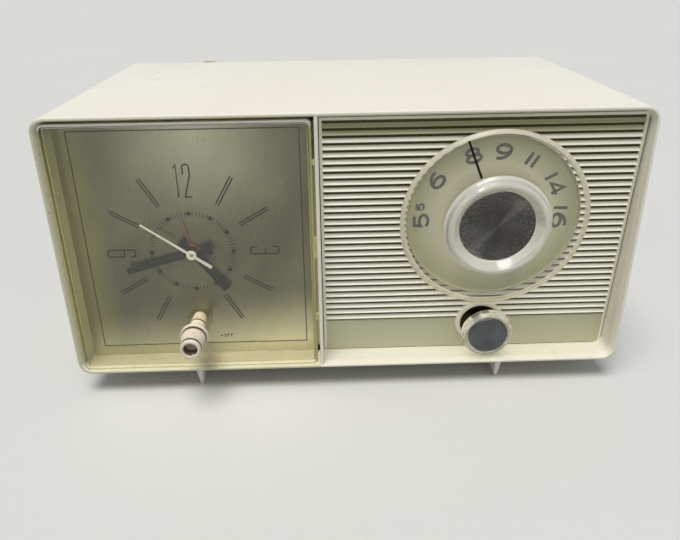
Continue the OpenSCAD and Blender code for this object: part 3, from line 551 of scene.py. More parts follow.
def slat_plastic():
    """Panel plastic with painted shade: olive at the back of each slat, where the slat above shades it, and all
    over the slats under the top edge, a painted shadow of the overhang.
    """
    f = moulded("slat_plastic", (0.95, 0.94, 0.82), (0.90, 0.89, 0.74), (0.28, 0.22, 0.12), (0.35, 0.5))
    clean = f.shader.inputs["Base Color"].links[0].from_socket
    count = f.spread(f.along("Y"), 0.0, SLIT_TOP / SLAT_PITCH, SLIT_TOP * MM, 0.0)
    slat_back = SLIT_W / SLAT_PITCH
    # Painted shade at the back of each slat and a painted shadow over the top slats, both in one olive colour.
    slat_top_shade = f.spread(f.math("FRACT", count), 0.9, 0.0, slat_back, slat_back + 0.27)
    overhang_shadow = f.spread(count, 0.9, 0.0, 1.7, 2.6)
    painted_shade = f.math("MAXIMUM", slat_top_shade, overhang_shadow)
    f.tint(f.blend(painted_shade, clean, (0.32, 0.315, 0.14)))
    return f


def scale_paint():
    """Painted scale plate, greenish grey, paler where the hub throws light on it."""
    f = Finish("scale_paint")
    glow = f.spread(f.measure("LENGTH", f.place((1, 1, 0))), 0.9, 0.0, 0.024, 0.037)
    paint_tone = f.ramp(f.noise(30, 3), (0.3, (0.305, 0.308, 0.178)), (0.7, (0.36, 0.363, 0.22)))
    f.tint(f.blend(glow, paint_tone, (0.58, 0.57, 0.43)))
    f.gloss(f.noise(200, 3), 0.4, 0.55)
    f.relief(f.noise(1800, 2), 0.00001, 0.2)
    return f


SATIN, DULL = (0.35, 0.5), (0.5, 0.7)
RIM_GRIME = (0.30, 0.22, 0.09)
finishes = {f.name: f.material for f in (
    moulded("cabinet_plastic", (0.88, 0.855, 0.745), (0.85, 0.815, 0.685), (0.42, 0.34, 0.2), grime_at=0.87),
    moulded("bay_plastic", (0.82, 0.795, 0.68), (0.77, 0.735, 0.60), RIM_GRIME, grime_at=0.62,
            side=DIVIDER[0] * MM),
    moulded("rim_plastic", (0.66, 0.655, 0.47), (0.58, 0.57, 0.37), RIM_GRIME, grime_at=0.66),
    moulded("panel_plastic", (0.88, 0.87, 0.72), (0.81, 0.80, 0.63), (0.28, 0.22, 0.12), SATIN),
    # The plain strip is the panel plastic in a darker, greener copy: painted shade.
    moulded("strip_shaded_plastic", (0.57, 0.575, 0.405), (0.50, 0.505, 0.335), (0.26, 0.2, 0.11), SATIN),
    moulded("ivory_plastic", (0.80, 0.74, 0.62), (0.74, 0.67, 0.53), (0.32, 0.2, 0.1)),
    moulded("ivory_grip", (0.76, 0.68, 0.55), (0.68, 0.59, 0.45), (0.30, 0.21, 0.12), (0.45, 0.6), 0.58),
    # Dark brown for the selector's grooves and cup wall: painted shade.
    coarse("ivory_groove_shade", (0.16, 0.11, 0.06), (0.26, 0.19, 0.11), 700, DULL, 0.00005),
    # Nearly black brown for the ring's hollow: painted shade.
    coarse("ring_hollow_shade", (0.05, 0.032, 0.016), (0.13, 0.09, 0.05), 700, DULL, 0.00005),
    # Olive-brown sheet seen through the slits: painted shade.
    coarse("cloth", (0.10, 0.09, 0.035), (0.15, 0.135, 0.06), 1200, (0.8, 0.95), 0.0001),
    clear_plastic("clear_plastic", (0.98, 0.975, 0.93), (0.97, 0.967, 0.94), (0.02, 0.06), shine=0.35),
    clear_plastic("skirt_plastic", (0.94, 0.93, 0.84), (0.96, 0.955, 0.91), (0.03, 0.08), 0.92, shine=0.4),
    clear_plastic("edge_plastic", (0.85, 0.815, 0.65), (0.94, 0.935, 0.87), (0.28, 0.4), 0.42, shine=0.35),
    clear_plastic("frosted_plastic", (0.96, 0.95, 0.89), (0.94, 0.935, 0.89), (0.14, 0.24), 0.48),
    clear_plastic("milky_plastic", (0.86, 0.845, 0.72), (0.95, 0.945, 0.89), (0.14, 0.26), 0.7),
    # Pale, half-clear finish for the crystal's top front edge: a painted highlight.
    clear_plastic("crystal_highlight", (0.84, 0.84, 0.80), (0.9, 0.9, 0.82), (0.08, 0.16), 0.3),
    clear_plastic("crystal_plastic", (0.97, 0.965, 0.89), (0.95, 0.945, 0.88), (0.0, 0.03), scratches=0.06,
                  shine=0.15),
    crystal_wall(),
    dial_metal(),
    slat_plastic(),
    scale_paint(),
    coarse("hand_black", (0.010, 0.010, 0.008), (0.018, 0.017, 0.014), 400, (0.45, 0.6), 0.00002,
           Specular_IOR_Level=0.2),
    coarse("hand_white", (0.66, 0.66, 0.60), (0.74, 0.74, 0.68), 400, SATIN, 0.00002),
    coarse("hand_red", (0.22, 0.06, 0.035), (0.29, 0.085, 0.05), 400, (0.4, 0.55), 0.00002),
    coarse("ink", (0.006, 0.006, 0.005), (0.014, 0.014, 0.011), 500, (0.6, 0.75), 0.00001,
           Specular_IOR_Level=0.1),
    coarse("grey_ink", (0.055, 0.058, 0.05), (0.085, 0.088, 0.075), 500, (0.5, 0.65), 0.00001),
    spun_metal("insert_metal", (0.095, 0.092, 0.085), (0.145, 0.14, 0.128), 0.95),
    spun_metal("volume_metal", (0.10, 0.105, 0.112), (0.155, 0.16, 0.165), 0.4),
    metal("brass", (0.58, 0.40, 0.14), (0.70, 0.52, 0.22)),
    metal("steel", (0.48, 0.48, 0.46), (0.62, 0.62, 0.60)),
    # Nearly black steel for the parts in the hollow behind the volume knob: painted shade.
    metal("hollow_shade_steel", (0.035, 0.024, 0.014), (0.12, 0.08, 0.045)),
    metal("laminations", (0.16, 0.16, 0.17), (0.24, 0.24, 0.25), (1, 0.02, 1)),
    coarse("winding", (0.26, 0.09, 0.03), (0.40, 0.16, 0.06), 900, (0.35, 0.55), stretch=(0.1, 1, 1)),
    coarse("fibreboard", (0.10, 0.052, 0.022), (0.19, 0.105, 0.05), 260, stretch=(0.5, 1, 1)),
    coarse("black_rubber", (0.012, 0.012, 0.012), (0.028, 0.027, 0.025), 700, (0.55, 0.75)),
    coarse("bakelite", (0.055, 0.024, 0.011), (0.095, 0.045, 0.022), 160, (0.25, 0.4), 0.00003),
    coarse("board", (0.30, 0.16, 0.055), (0.42, 0.25, 0.10), 350, (0.4, 0.6), 0.00005),
    coarse("cone_paper", (0.02, 0.019, 0.017), (0.05, 0.047, 0.042), 900),
    coarse("ferrite", (0.04, 0.04, 0.042), (0.075, 0.075, 0.078), 600, DULL, 0.00005),
    coarse("capacitor_sleeve", (0.03, 0.07, 0.17), (0.045, 0.10, 0.22), 90, (0.2, 0.35), 0.00003),
)}
# These parts behind the volume knob take the nearly black steel: painted shade.
HOLLOW_SHADE_PARTS = ("volume_bracket", "volume_control", "volume_shaft")

for part in frame["record"]["subparts"]:
    node = frame["nodes"][part["node"]]
    node.data.materials.clear()
    node.data.materials.append(finishes["hollow_shade_steel" if part["node"] in HOLLOW_SHADE_PARTS else part["material_slot"]])


# Cabinet

SEAT_Y, SEAT_T, SEAT_W, SEAT_LAP = 13.2, 1.4, 3.6, 0.5
YELLOW_RIM = (3.0, 1.0)  # width and depth of the left rim's yellowed edge


def half_width(y):
    return HALF_W - TAPER * y / DEEP


def case_ring(bm, y, inset):
    half = half_width(y) - inset
    return frame_ring(bm, y, -half, half, inset, TALL - inset, max(CORNER_R - inset, LEAST_R))


def cabinet_look(middle):
    """Rim finish under the crystal and on the left edge, bay finish inside, and cabinet finish elsewhere."""
    under_crystal = middle.z < WALL + 0.1 and middle.x < DIVIDER[0] and middle.y < RIM_DEPTH
    if under_crystal or (middle.y < YELLOW_RIM[1] and middle.x < -HALF_W + YELLOW_RIM[0]):
        return 2
    inside = min(half_width(middle.y) - abs(middle.x), middle.z, TALL - middle.z)
    return 1 if inside > RIM * 1.2 else 0


def cabinet():
    """Tapered tube whose wall thins to the front rim, the wall between clock and radio, and the dial's seat."""
    bm = bmesh.new()
    section = rounded([(WALL, DEEP), (WALL, RIM_DEPTH, 1.0), (RIM, 0, 0.35), (0, 0, 0.8), (0, DEEP, 0.8)],
                      closed=True)
    rings = [case_ring(bm, y, inset) for inset, y in section]
    join(bm, rings + rings[:1])
    bmesh.ops.bisect_plane(bm, geom=bm.verts[:] + bm.edges[:] + bm.faces[:], plane_co=(DIVIDER[0], 0, 0),
                           plane_no=(1, 0, 0))
    paint(bm, cabinet_look)
    left, right = DIVIDER
    plan = rounded([(left, DIVIDER_BACK), (left, DIVIDER_FRONT, 0.8), (right, DIVIDER_FRONT, 0.8),
                    (right, DIVIDER_BACK)])
    slab(bm, plan, RIM, TALL - RIM)
    back = SEAT_Y + SEAT_T
    left, right, low, high = WALL - half_width(back), DIVIDER[0], WALL, TALL - WALL
    for near_x, near_z, far_x, far_z in (
            (left - SEAT_LAP, low, left + SEAT_W, high), (right - SEAT_W, low, right, high),
            (left, low - SEAT_LAP, right, low + SEAT_W), (left, high - SEAT_W, right, high + SEAT_LAP)):
        box(bm, (near_x, SEAT_Y, near_z), (far_x, back, far_z))
    piece("cabinet", bm, ("cabinet_plastic", "bay_plastic", "rim_plastic"), "cabinet", node="cabinet_shell",
          smooth=50)


def foot(node):
    """Thin moulded runner, thinner towards the floor, with a sloping front."""
    low, high = (to_case(corner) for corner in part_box(node))
    middle = (low.x + high.x) / 2
    thick, thin, sole = 3.4, 2.0, 1.2
    slope, toe, sole_t, r = 4.0, 4.6, 1.0, 0.8
    bm = bmesh.new()
    rings = []
    for z, half, front in ((high.z, thick / 2, low.y), (low.z + sole_t, thin / 2, low.y + slope),
                           (low.z, sole / 2, low.y + toe)):
        outline = rectangle(middle - half, front, middle + half, high.y, r, 3)
        rings.append([bm.verts.new((x, y, z)) for x, y in outline])
    loft(bm, rings)
    piece(node + "_runner", bm, "cabinet_plastic", "cabinet", node=node, smooth=45)


# Louvred panel, in a frame at its foot: x right, y up the leaning face and z out of it

RING_R, RING_HOLE, RING_PROUD, RING_LAP = 12.6, 10.2, 2.0, 0.4
RING_SHADE_LEVEL = 1.6  # level below which the ring's inside gets painted shade
BITE_STEPS = 40
# Inset, gap and thickness of the dark sheet of painted shade behind the louvres.
SHEET_INSET, SHEET_GAP, SHEET_T = 0.5, 0.05, 0.15
PANEL_FOOT = CASE @ Vector((0, 13.9 * MM, 0))


def up_panel(place):
    """Height of a shaft's axis up the panel."""
    return (place.translation - PANEL_FOOT - Vector((place.translation.x, 0, 0))).length / MM


PANEL = TUNING @ Matrix.Translation((-TUNING.translation.x, -up_panel(TUNING) * MM, 0))
RING_X, RING_UP = VOLUME.translation.x / MM - 2.0, up_panel(VOLUME) + 0.4


def slat(bm, left, right, low, high):
    """One louvre: a blade with a nose that leans up to the light and a steeper, hollow back."""
    nose, hollow, lean = 1.15, 0.0, -0.5
    bend, root_low, root_high = 0.95, 0.25, 1.2
    section = rounded([(low + root_low, -SLAT_DEEP), (low, nose, 0.3), (low + bend, hollow, 0.6),
                       (high, lean, 0.35), (low + root_high, -SLAT_DEEP)], steps=4)
    before = len(bm.faces)
    loft(bm, [[bm.verts.new((x, y, z)) for y, z in section] for x in (left, right)])
    paint(bm, 3, before)


def louvre_panel():
    """Slats between two end strips and a top strip, and the plain strip below."""
    bm = bmesh.new()
    left, right = PANEL_LEFT + END_STRIP, PANEL_RIGHT - END_STRIP
    tops = [SLIT_TOP - SLAT_PITCH * i - SLIT_W for i in range(SLATS)]
    for high in tops:
        low = high - SLAT_PITCH + SLIT_W
        drop = abs((low + high) / 2 - RING_UP)
        if drop >= RING_R:
            slat(bm, left, right, low, high)
            continue
        reach = math.sqrt(RING_R ** 2 - drop ** 2) - RING_LAP
        slat(bm, left, RING_X - reach, low, high)
        slat(bm, RING_X + reach, right, low, high)
    for near_x, near_y, far_x, far_y in (
            (PANEL_LEFT, PANEL_LOW, left, PANEL_TOP), (right, PANEL_LOW, PANEL_RIGHT, PANEL_TOP),
            (left, SLIT_TOP, right, PANEL_TOP)):
        box(bm, (near_x, near_y, -PANEL_T), (far_x, far_y, 0))
    lower_strip(bm, left, right, tops[-1] - SLAT_PITCH)
    piece("louvres", bm, ("panel_plastic", "strip_shaded_plastic", "ring_hollow_shade", "slat_plastic"), "cabinet", PANEL,
          "louvre_panel", 40)


def lower_strip(bm, left, right, top):
    """Plain strip under the louvres, cut away for the volume shaft, and the raised ring round it."""
    start = math.asin((top - RING_UP) / RING_HOLE)
    sweep = math.pi + 2 * start
    bite = [(RING_X + RING_HOLE * math.cos(a), RING_UP + RING_HOLE * math.sin(a))
            for a in (start - sweep * k / BITE_STEPS for k in range(BITE_STEPS + 1))]
    before = len(bm.faces)
    slab(bm, [(left, PANEL_LOW), (right, PANEL_LOW), (right, top)] + bite + [(left, top)], -PANEL_T, 0)
    # The plain strip takes the darker strip finish, painted shade.
    paint(bm, 1, before)
    section = [(RING_HOLE, -PANEL_T), (RING_HOLE, RING_PROUD, 0.7), (RING_R, RING_PROUD, 1.0), (RING_R, -PANEL_T)]
    before = len(bm.faces)
    turned(bm, section, 72, 5, True, centre=(RING_X, RING_UP))

    # Low inside the ring, faces take the dark finish: painted shade.
    def ring_look(middle):
        inside = (middle.xy - Vector((RING_X, RING_UP))).length < RING_HOLE + 0.2
        return 2 if inside and middle.z < RING_SHADE_LEVEL else 0

    paint(bm, ring_look, before)


def gap_shade_sheet():
    """Dark sheet behind the louvres, open round the volume shaft: painted shade that stands in for the shade in
    the gaps between the slats.
    """
    bm = bmesh.new()
    back = -SLAT_DEEP - SHEET_GAP
    left, right = PANEL_LEFT + SHEET_INSET, PANEL_RIGHT - SHEET_INSET
    low, high = PANEL_LOW + SHEET_INSET, PANEL_TOP - SHEET_INSET
    slab(bm, rectangle(left, low, right, high), back - SHEET_T, back, [circle(RING_X, RING_UP, RING_R)])
    cloth = piece("gap_shade_sheet", bm, "cloth", "cabinet", PANEL)


# Clock. The bay is given by its left, right, low and high edges.

BAY_FRONT = (-137.2, -16.5, 1.9, 129.9)
BAY_BACK = (-136.3, -16.7, 3.0, 129.5)
CRYSTAL_FRONT, CRYSTAL_BACK = 0.8, 11.8
CRYSTAL_WALL, CRYSTAL_T = 1.5, 2.2
CRYSTAL_R, CRYSTAL_INNER_R = 2.2, 1.2
SELECTOR_HOLE, HOLE_STEPS = 4.3, 40
TABS = ((110.0, 2.0), (67.7, 10.5), (29.5, 3.0))  # height of the middle and length of each
HOLE_AT = to_case(SELECTOR.translation)
CLOCK_AT = to_case(CLOCK.translation)


def bay_ring(bm, y, inset, r):
    """Ring round the crystal at one depth, a little smaller towards the dial."""
    part = (y - CRYSTAL_FRONT) / (CRYSTAL_BACK - CRYSTAL_FRONT)
    left, right, low, high = (a + (b - a) * part for a, b in zip(BAY_FRONT, BAY_BACK))
    return frame_ring(bm, y, left + inset, right - inset, low + inset, high - inset, r, 6)


def hole_ring(bm, y):
    """Ring round the selector's hole at depth y."""
    return [bm.verts.new((x, y, z)) for x, z in circle(HOLE_AT.x, HOLE_AT.z, SELECTOR_HOLE, HOLE_STEPS)]


def crystal():
    """Clear box with thin hazy walls, rounded front edges, the top one in a paler, less clear finish that is a
    painted highlight, a hole for the selector and tabs at the divider.
    """
    bm = bmesh.new()
    back = CRYSTAL_FRONT + CRYSTAL_T
    outside = rounded([(0, CRYSTAL_BACK), (0, CRYSTAL_FRONT, 1.1), (2.5, CRYSTAL_FRONT)], steps=6)
    inside = rounded([(CRYSTAL_WALL, CRYSTAL_BACK), (CRYSTAL_WALL, back + 2.4), (CRYSTAL_WALL, back, 0.6),
                      (CRYSTAL_WALL + 2, back)], steps=4)
    outer = [bay_ring(bm, y, inset, CRYSTAL_R) for inset, y in outside[:-1]]
    inner = [bay_ring(bm, y, inset, CRYSTAL_INNER_R) for inset, y in inside[:-1]]
    join(bm, outer)
    join(bm, inner)
    bridge(bm, outer[0], inner[0])
    highlight_from, highlight_to = BAY_BACK[3] - 2.2, back + 2
    # Faces along the top front edge take the pale finish: a painted highlight.
    paint(bm, lambda middle: 2 if middle.z > highlight_from and middle.y < highlight_to else 1)
    holes = [hole_ring(bm, CRYSTAL_FRONT), hole_ring(bm, back)]
    fill(bm, outer[-1], holes[0])
    fill(bm, inner[-1], holes[1])
    bridge(bm, *holes)
    before = len(bm.faces)
    for z, tall in TABS:
        box(bm, (BAY_BACK[1] - 0.4, CRYSTAL_FRONT + 0.5, z - tall / 2),
            (DIVIDER[0] - 0.1, back + 1, z + tall / 2))
    paint(bm, 1, before)
    piece("crystal", bm, ("crystal_plastic", "crystal_wall", "crystal_highlight"), "cabinet", node="clock_crystal",
          smooth=40)


def from_clock(edges):
    """Left, low, right and high edge, measured from the clock's centre."""
    left, right, low, high = edges
    return left - CLOCK_AT.x, low - CLOCK_AT.z, right - CLOCK_AT.x, high - CLOCK_AT.z


def dial():
    """Satin plate behind the crystal, with holes for the hands' tubes and the selector."""
    plate_t, corner, tube_hole, shaft_hole = 1.0, 4.0, 3.4, 3.05
    bm = bmesh.new()
    holes = [circle(0, 0, tube_hole), circle(HOLE_AT.x - CLOCK_AT.x, HOLE_AT.z - CLOCK_AT.z, shaft_hole)]
    slab(bm, rectangle(*from_clock(BAY_BACK), corner), -plate_t, 0, holes)
    piece("dial_plate", bm, "dial_metal", "cabinet", CLOCK, "clock_dial")


TWELVE = [
    [(-4.9, 6.2), (-3.6, 8.0), (-3.6, -8.0)],
    rounded([(-0.6, 3.2), (-0.6, 8.0, 1.5), (2.5, 8.0, 1.5), (2.5, 2.6, 4.0), (-0.5, -8.0), (2.9, -8.0)])]
THREE = [
    rounded([(-1.9, 4.2), (-1.9, 7, 1.2), (1.9, 7, 1.2), (1.9, 0.4, 0.9), (-0.7, 0.4)]),
    rounded([(0.6, 0.4), (1.9, 0.4, 0.9), (1.9, -7, 1.2), (-1.9, -7, 1.2), (-1.9, -3.6)])]
NINE_BOWL = rounded([(-1.8, 6.7, 1.1), (1.8, 6.7, 1.1), (1.8, -1.4, 0.7), (-1.8, -1.4, 1.1)], closed=True)
NINE = [NINE_BOWL + NINE_BOWL[:1], rounded([(1.8, 0), (1.8, -6.7, 1.1), (-1.8, -6.7, 1.1), (-1.8, -4.4)])]
DIAL_FIGURES = ((TWELVE, (0, 36.7), 0), (THREE, (35.6, 0), 90), (NINE, (-35, 0), -90))
BORDER = (-128.6, -22.2, 10.2, 124.2)
BORDER_INK, TICK_INK, MARK_INK, FIGURE_INK, WORD_INK = 0.5, 0.34, 0.65, 0.7, 0.35
ALARM_RING, TICK_IN, TICK_OUT, HOUR_DOT, SPACES = 20.2, 18.9, 21.5, 1.1, 6
MARK_IN, MARK_OUT, MARK_SPREAD = 28, 44, 0.7
SWITCH_DOT, SWITCH_WORD = (10.0, -48.5, 0.5), (13.8, -48.4)


def dial_print():
    """Border, hour marks, figures and the alarm ring, in the clock's own frame."""
    bm = bmesh.new()
    z = INK_OFF
    border = rectangle(*from_clock(BORDER))
    stroke(bm, border + border[:1], BORDER_INK, z)
    for hour in range(12):
        angle = TURN * hour / 12
        out = Vector((math.sin(angle), math.cos(angle)))
        side = Vector((out.y, -out.x)) * MARK_SPREAD
        dot(bm, *(out * ALARM_RING), HOUR_DOT, z)
        for k in range(1, SPACES):
            tick = angle + TURN / 12 * k / SPACES
            line = Vector((math.sin(tick), math.cos(tick)))
            stroke(bm, [line * TICK_IN, line * TICK_OUT], TICK_INK, z)
        if hour % 3:
            for offset in (-side, side):
                stroke(bm, [out * MARK_IN + offset, out * MARK_OUT + offset], MARK_INK, z)
    for paths, at, turn in DIAL_FIGURES:
        figure(bm, paths, at, FIGURE_INK, turn, z)
    dot(bm, *SWITCH_DOT, z)
    write(bm, "OFF", SWITCH_WORD, (1.0, 1.6), WORD_INK, 0, z, 0.35)
    thicken(bm)
    piece("dial_print", bm, "ink", "cabinet", CLOCK)


# Body, finish, angle, reach, tail, widths at tip, waist and tail, level, hub's radius and its hole
HANDS = (
    ("alarm", "hand_red", 349.0, 17, 0, (0.5, 0.9, 0), 0.9, 4.4, 3.1),
    ("hour", "hand_black", 141.3, 25.5, 8.4, (4.6, 2.4, 6.0), 2.0, 4.0, 2.3),
    ("minute", "hand_black", 255.6, 33.6, 10.5, (3.4, 1.9, 5.6), 3.1, 3.4, 1.5),
    ("second", "hand_white", 306.0, 28.4, 11.5, (0.8, 1.3, 1.7), 4.3, 2.5, 0.75),
)
HAND_T, HUB_UNDER, HUB_OVER, HUB_CHAMFER = 0.4, 0.02, 0.12, 0.2


def hand(body, finish, angle, reach, tail, widths, level, hub, hole):
    """Pressed hand that is narrow at its hub and widest at its square ends."""
    tip, waist, end = (w / 2 for w in widths)
    bm = bmesh.new()
    outline = [(-end, -tail), (end, -tail), (waist, 0), (tip, reach), (-tip, reach), (-waist, 0)]
    if tail == 0:
        outline = [(-waist, 0), (waist, 0), (tip, reach), (-tip, reach)]
    low, high = level - HUB_UNDER, level + HAND_T
    slab(bm, outline, level, high)
    turned(bm, [(hole, low), (hub, low), (hub, high), (hub - HUB_CHAMFER, high + HUB_OVER),
                (hole, high + HUB_OVER)], 48, closed=True)
    place = CLOCK @ Matrix.Rotation(math.radians(-angle), 4, "Z")
    piece(body + "_pointer", bm, finish, body, place, body + "_hand", 30, bevel=0.1)


# Selector

STEM_R, STEM_LOW, STEM_HIGH, STEM_SHOWN = 2.8, -32, 26.5, 0.4
NECK_R, NECK_LOW = 3.9, 5.6
KNURL_ROWS, KNURL_DEEP, KNURL_ROUND, KNURL_ALONG = 26, 0.2, 26, 4.6


def selector_grip():
    """Ivory knob: neck, flange, finely knurled grip and a hollow front ring with a nub."""
    back, front = 19.0, 33.0
    flange, heel, toe, ring, cup, groove = 6.9, 5.9, 5.3, 4.95, 3.4, 1.0
    grip_from, grip_to, cup_floor = back + 3.3, front - 3.1, front - 5.5
    bm = bmesh.new()
    section = rounded([
        (0, NECK_LOW), (NECK_R, NECK_LOW, 0.3), (NECK_R, back, 0.2), (flange, back, 0.7),
        (flange, back + 2.0, 0.7), (heel - groove, back + 2.1), (heel - groove, back + 3.2),
        (heel, grip_from, 0.25), (toe, grip_to, 0.25), (toe - groove, front - 3.0), (toe - groove, front - 2.2),
        (ring, front - 2.1, 0.3), (ring, front, 0.7), (cup, front, 0.6), (cup, cup_floor, 0.5),
        (0, cup_floor)], steps=4)
    rows = []
    for first, second in zip(section, section[1:]):
        steps = KNURL_ROWS if second.y - first.y > 4 and first.x > heel - 1 else 1
        rows += [first.lerp(second, k / steps) for k in range(steps)]
    rows.append(section[-1])

    def knurl(r, z, angle):
        if not (back + 3.8 < z < front - 3.5 and r > 4.8):
            return 0.0
        around, along = KNURL_ROUND * angle, KNURL_ALONG * z
        return KNURL_DEEP * math.cos(around + along) * math.cos(around - along)

    # Grooves and the cup's wall take the dark finish, painted shade.
    def look(middle):
        reach, z = middle.xy.length, middle.z
        in_groove = reach < heel - groove / 4 and back + 2.05 < z < grip_from
        in_groove |= cup + 0.2 < reach < toe - groove / 4 and grip_to < z < front - 2.1
        in_groove |= cup - 0.1 < reach < cup + 0.1 and z < front - 0.7
        on_grip = grip_from < z < grip_to and reach > toe - groove / 2
        on_grip |= z < back - 0.2
        return 1 if in_groove else 2 if on_grip else 0

    turned(bm, rows, 320, ripple=knurl)
    paint(bm, look)
    nub_half, nub_r, nub_turn = 0.55, 0.2, Matrix.Rotation(math.radians(-164), 2)
    nub = rectangle(-nub_half, cup - 0.2, nub_half, ring + 0.2, nub_r)
    slab(bm, [nub_turn @ point for point in nub], front - 1.4, front - 0.05)
    piece("selector_grip", bm, ("ivory_plastic", "ivory_groove_shade", "ivory_grip"), "selector", SELECTOR,
          "selector_knob", 50)


def selector_stem():
    """Shaft behind the knob, as thick as its neck where it shows through the crystal."""
    bm = bmesh.new()
    shown_to = NECK_LOW - 0.1
    turned(bm, [(0, STEM_LOW), (STEM_R, STEM_LOW, 0.3), (STEM_R, STEM_SHOWN), (NECK_R - 0.4, STEM_SHOWN, 0.3),
                (NECK_R - 0.05, shown_to, 0.1), (STEM_R, shown_to), (STEM_R, STEM_HIGH, 0.3),
                (0, STEM_HIGH)], 64, 3)
    piece("selector_stem", bm, "ivory_grip", "selector", SELECTOR, "selector_shaft", 40)


# Tuning. Points on the knob are given as (radius, height off the panel).

TUNE_R, TUNE_EDGE, HUB_R, INSERT_R, SCALE_R = 44.9, 2.4, 24.0, 17.8, 41.4
FACE_IN, FACE_OUT = (HUB_R + 1.6, 14.0), (TUNE_R - 1.3, 10.5)
EDGE_LOW, EDGE_HIGH, HUB_HIGH, HUB_FROM = 7.0, 9.3, 19.0, 14.3
RIBS, RIB_DEEP, RIBS_FROM, RIBS_TO = 160, 0.1, 160, 230
KNOB_BORE, KNOB_STEM = 3.02, 8.0
SCALE_LEVEL, SCALE_FOOT, SCALE_LIP, SCALE_HOLE = 3.2, 1.2, 0.8, 6
SCALE_FIGURES = (("5", -92), ("6", -54), ("8", -19), ("9", 5.3), ("11", 30), ("14", 60.9), ("16", 91))
SCALE_SIZE, SCALE_INK, SCALE_GAP = (6.4, 6.6), 1.55, 1.7
SMALL_FIVE, SMALL_TURN, SMALL_OUT, SMALL_SIZE, SMALL_INK = -79.5, -84, 1.4, (3.2, 3.4), 1.0
FIGURE_R, FIGURE_SHIFT = 32.8, -1.2
POINTER_ANGLE, POINTER_STEPS = -21.6, 6


def on_ring(angle, r):
    """Point on the ring of figures, which sits a little off the knob's axis."""
    return FIGURE_SHIFT + r * math.sin(math.radians(angle)), r * math.cos(math.radians(angle))


def scale():
    """Painted plate with a turned-up edge, and its figures."""
    bm = bmesh.new()
    lip = SCALE_LEVEL + SCALE_LIP
    turned(bm, [(SCALE_HOLE, 0), (SCALE_HOLE, SCALE_FOOT, 0.2), (10, SCALE_FOOT, 2), (26, SCALE_LEVEL, 4),
                (SCALE_R - 1.0, SCALE_LEVEL, 0.4), (SCALE_R - 0.6, lip, 0.2), (SCALE_R, lip, 0.2),
                (SCALE_R, 0)], 128, 3, True)
    piece("scale_disc", bm, "scale_paint", "cabinet", TUNING, "scale_plate")
    bm = bmesh.new()
    z = SCALE_LEVEL + 0.06
    for text, angle in SCALE_FIGURES:
        write(bm, text, on_ring(angle, FIGURE_R), SCALE_SIZE, SCALE_INK, angle, z, SCALE_GAP)
    write(bm, "5", on_ring(SMALL_FIVE, FIGURE_R + SMALL_OUT), SMALL_SIZE, SMALL_INK, SMALL_TURN, z)
    thicken(bm)
    piece("scale_figures", bm, "grey_ink", "cabinet", TUNING)


def pointer():
    """Black line let into the knob's sloping face, from the hub to the edge."""
    wide, narrow, proud, sunk, chamfer = 1.15, 0.95, 0.08, 0.15, 0.12
    start, lift = FACE_IN[0] + 0.4, 0.12
    bm = bmesh.new()
    rings = []
    for k in range(POINTER_STEPS + 1):
        r = start + (FACE_OUT[0] - start) * k / POINTER_STEPS
        part = (r - FACE_IN[0]) / (FACE_OUT[0] - FACE_IN[0])
        z = FACE_IN[1] + (FACE_OUT[1] - FACE_IN[1] + lift) * part
        half = (wide + (narrow - wide) * k / POINTER_STEPS) / 2
        rings.append([bm.verts.new((x, r, z + up)) for x, up in (
            (-half, -sunk), (half, -sunk), (half, proud / 2), (half - chamfer, proud), (chamfer - half, proud),
            (-half, proud / 2))])
    loft(bm, rings)
    piece("tuning_pointer", bm, "ink", "tuning",
          TUNING @ Matrix.Rotation(math.radians(-POINTER_ANGLE), 4, "Z"))


def tuning_knob():
    """Clear knob whose face falls from a raised frosted hub to a thin milky edge, ribbed at the left."""
    edge, seat = TUNE_R - TUNE_EDGE, 13.9

    def ribbed(r, z, angle):
        on_ribs = r > TUNE_R - 0.1 and RIBS_FROM < math.degrees(angle) % 360 < RIBS_TO
        return RIB_DEEP * math.cos(RIBS * angle) if on_ribs else 0.0

    def look(middle):
        reach = middle.xy.length
        if middle.z > HUB_FROM and reach > INSERT_R:
            return 1
        return 2 if reach > edge else 0

    section = [
        (KNOB_BORE, 2.2), (KNOB_STEM, 2.2, 0.4), (KNOB_STEM, 9.8, 0.6), (FACE_IN[0], 10.8, 2.0),
        (edge - 0.4, EDGE_LOW + 0.6, 0.5), (edge, EDGE_LOW, 0.3), (TUNE_R - 0.7, EDGE_LOW, 0.5),
        (TUNE_R, EDGE_LOW + 0.8, 0.4), (TUNE_R, EDGE_HIGH, 0.4), (*FACE_OUT, 0.7), (*FACE_IN, 1.2),
        (HUB_R + 0.2, 15.4, 0.5), (HUB_R - 0.4, HUB_HIGH - 1, 0.6), (HUB_R - 1.6, HUB_HIGH, 0.8),
        (HUB_R - 2.8, HUB_HIGH, 0.8), (INSERT_R + 0.4, 15.2, 0.4), (INSERT_R + 0.1, seat), (0, seat),
        (0, 12.5), (KNOB_BORE, 12.5)]
    bm = bmesh.new()
    turned(bm, section, RIBS * 4, closed=True, ripple=ribbed)
    bmesh.ops.remove_doubles(bm, verts=bm.verts, dist=1e-5)
    paint(bm, look)
    piece("tuning_cup", bm, ("clear_plastic", "frosted_plastic", "edge_plastic"), "tuning", TUNING,
          "tuning_knob", 40)


def spun_disc(name, node, body, place, r, low, finish):
    """Thin turned disc, slightly dished, with a rolled edge."""
    steps, dish = 8, 0.12
    bm = bmesh.new()
    section = [(0, low + 0.05), (r, low + 0.05), (r, low + 0.4), (r - 0.25, low + 0.75)]
    section += [(r * (1 - k / steps) - 0.3, low + 0.72 - dish * math.sin(math.pi * k / steps))
                for k in range(steps)]
    section += [(0, low + 0.7)]
    turned(bm, section, 128)
    piece(name, bm, finish, body, place, node, 30)


# Volume

VOLUME_SEAT_R = 10.0


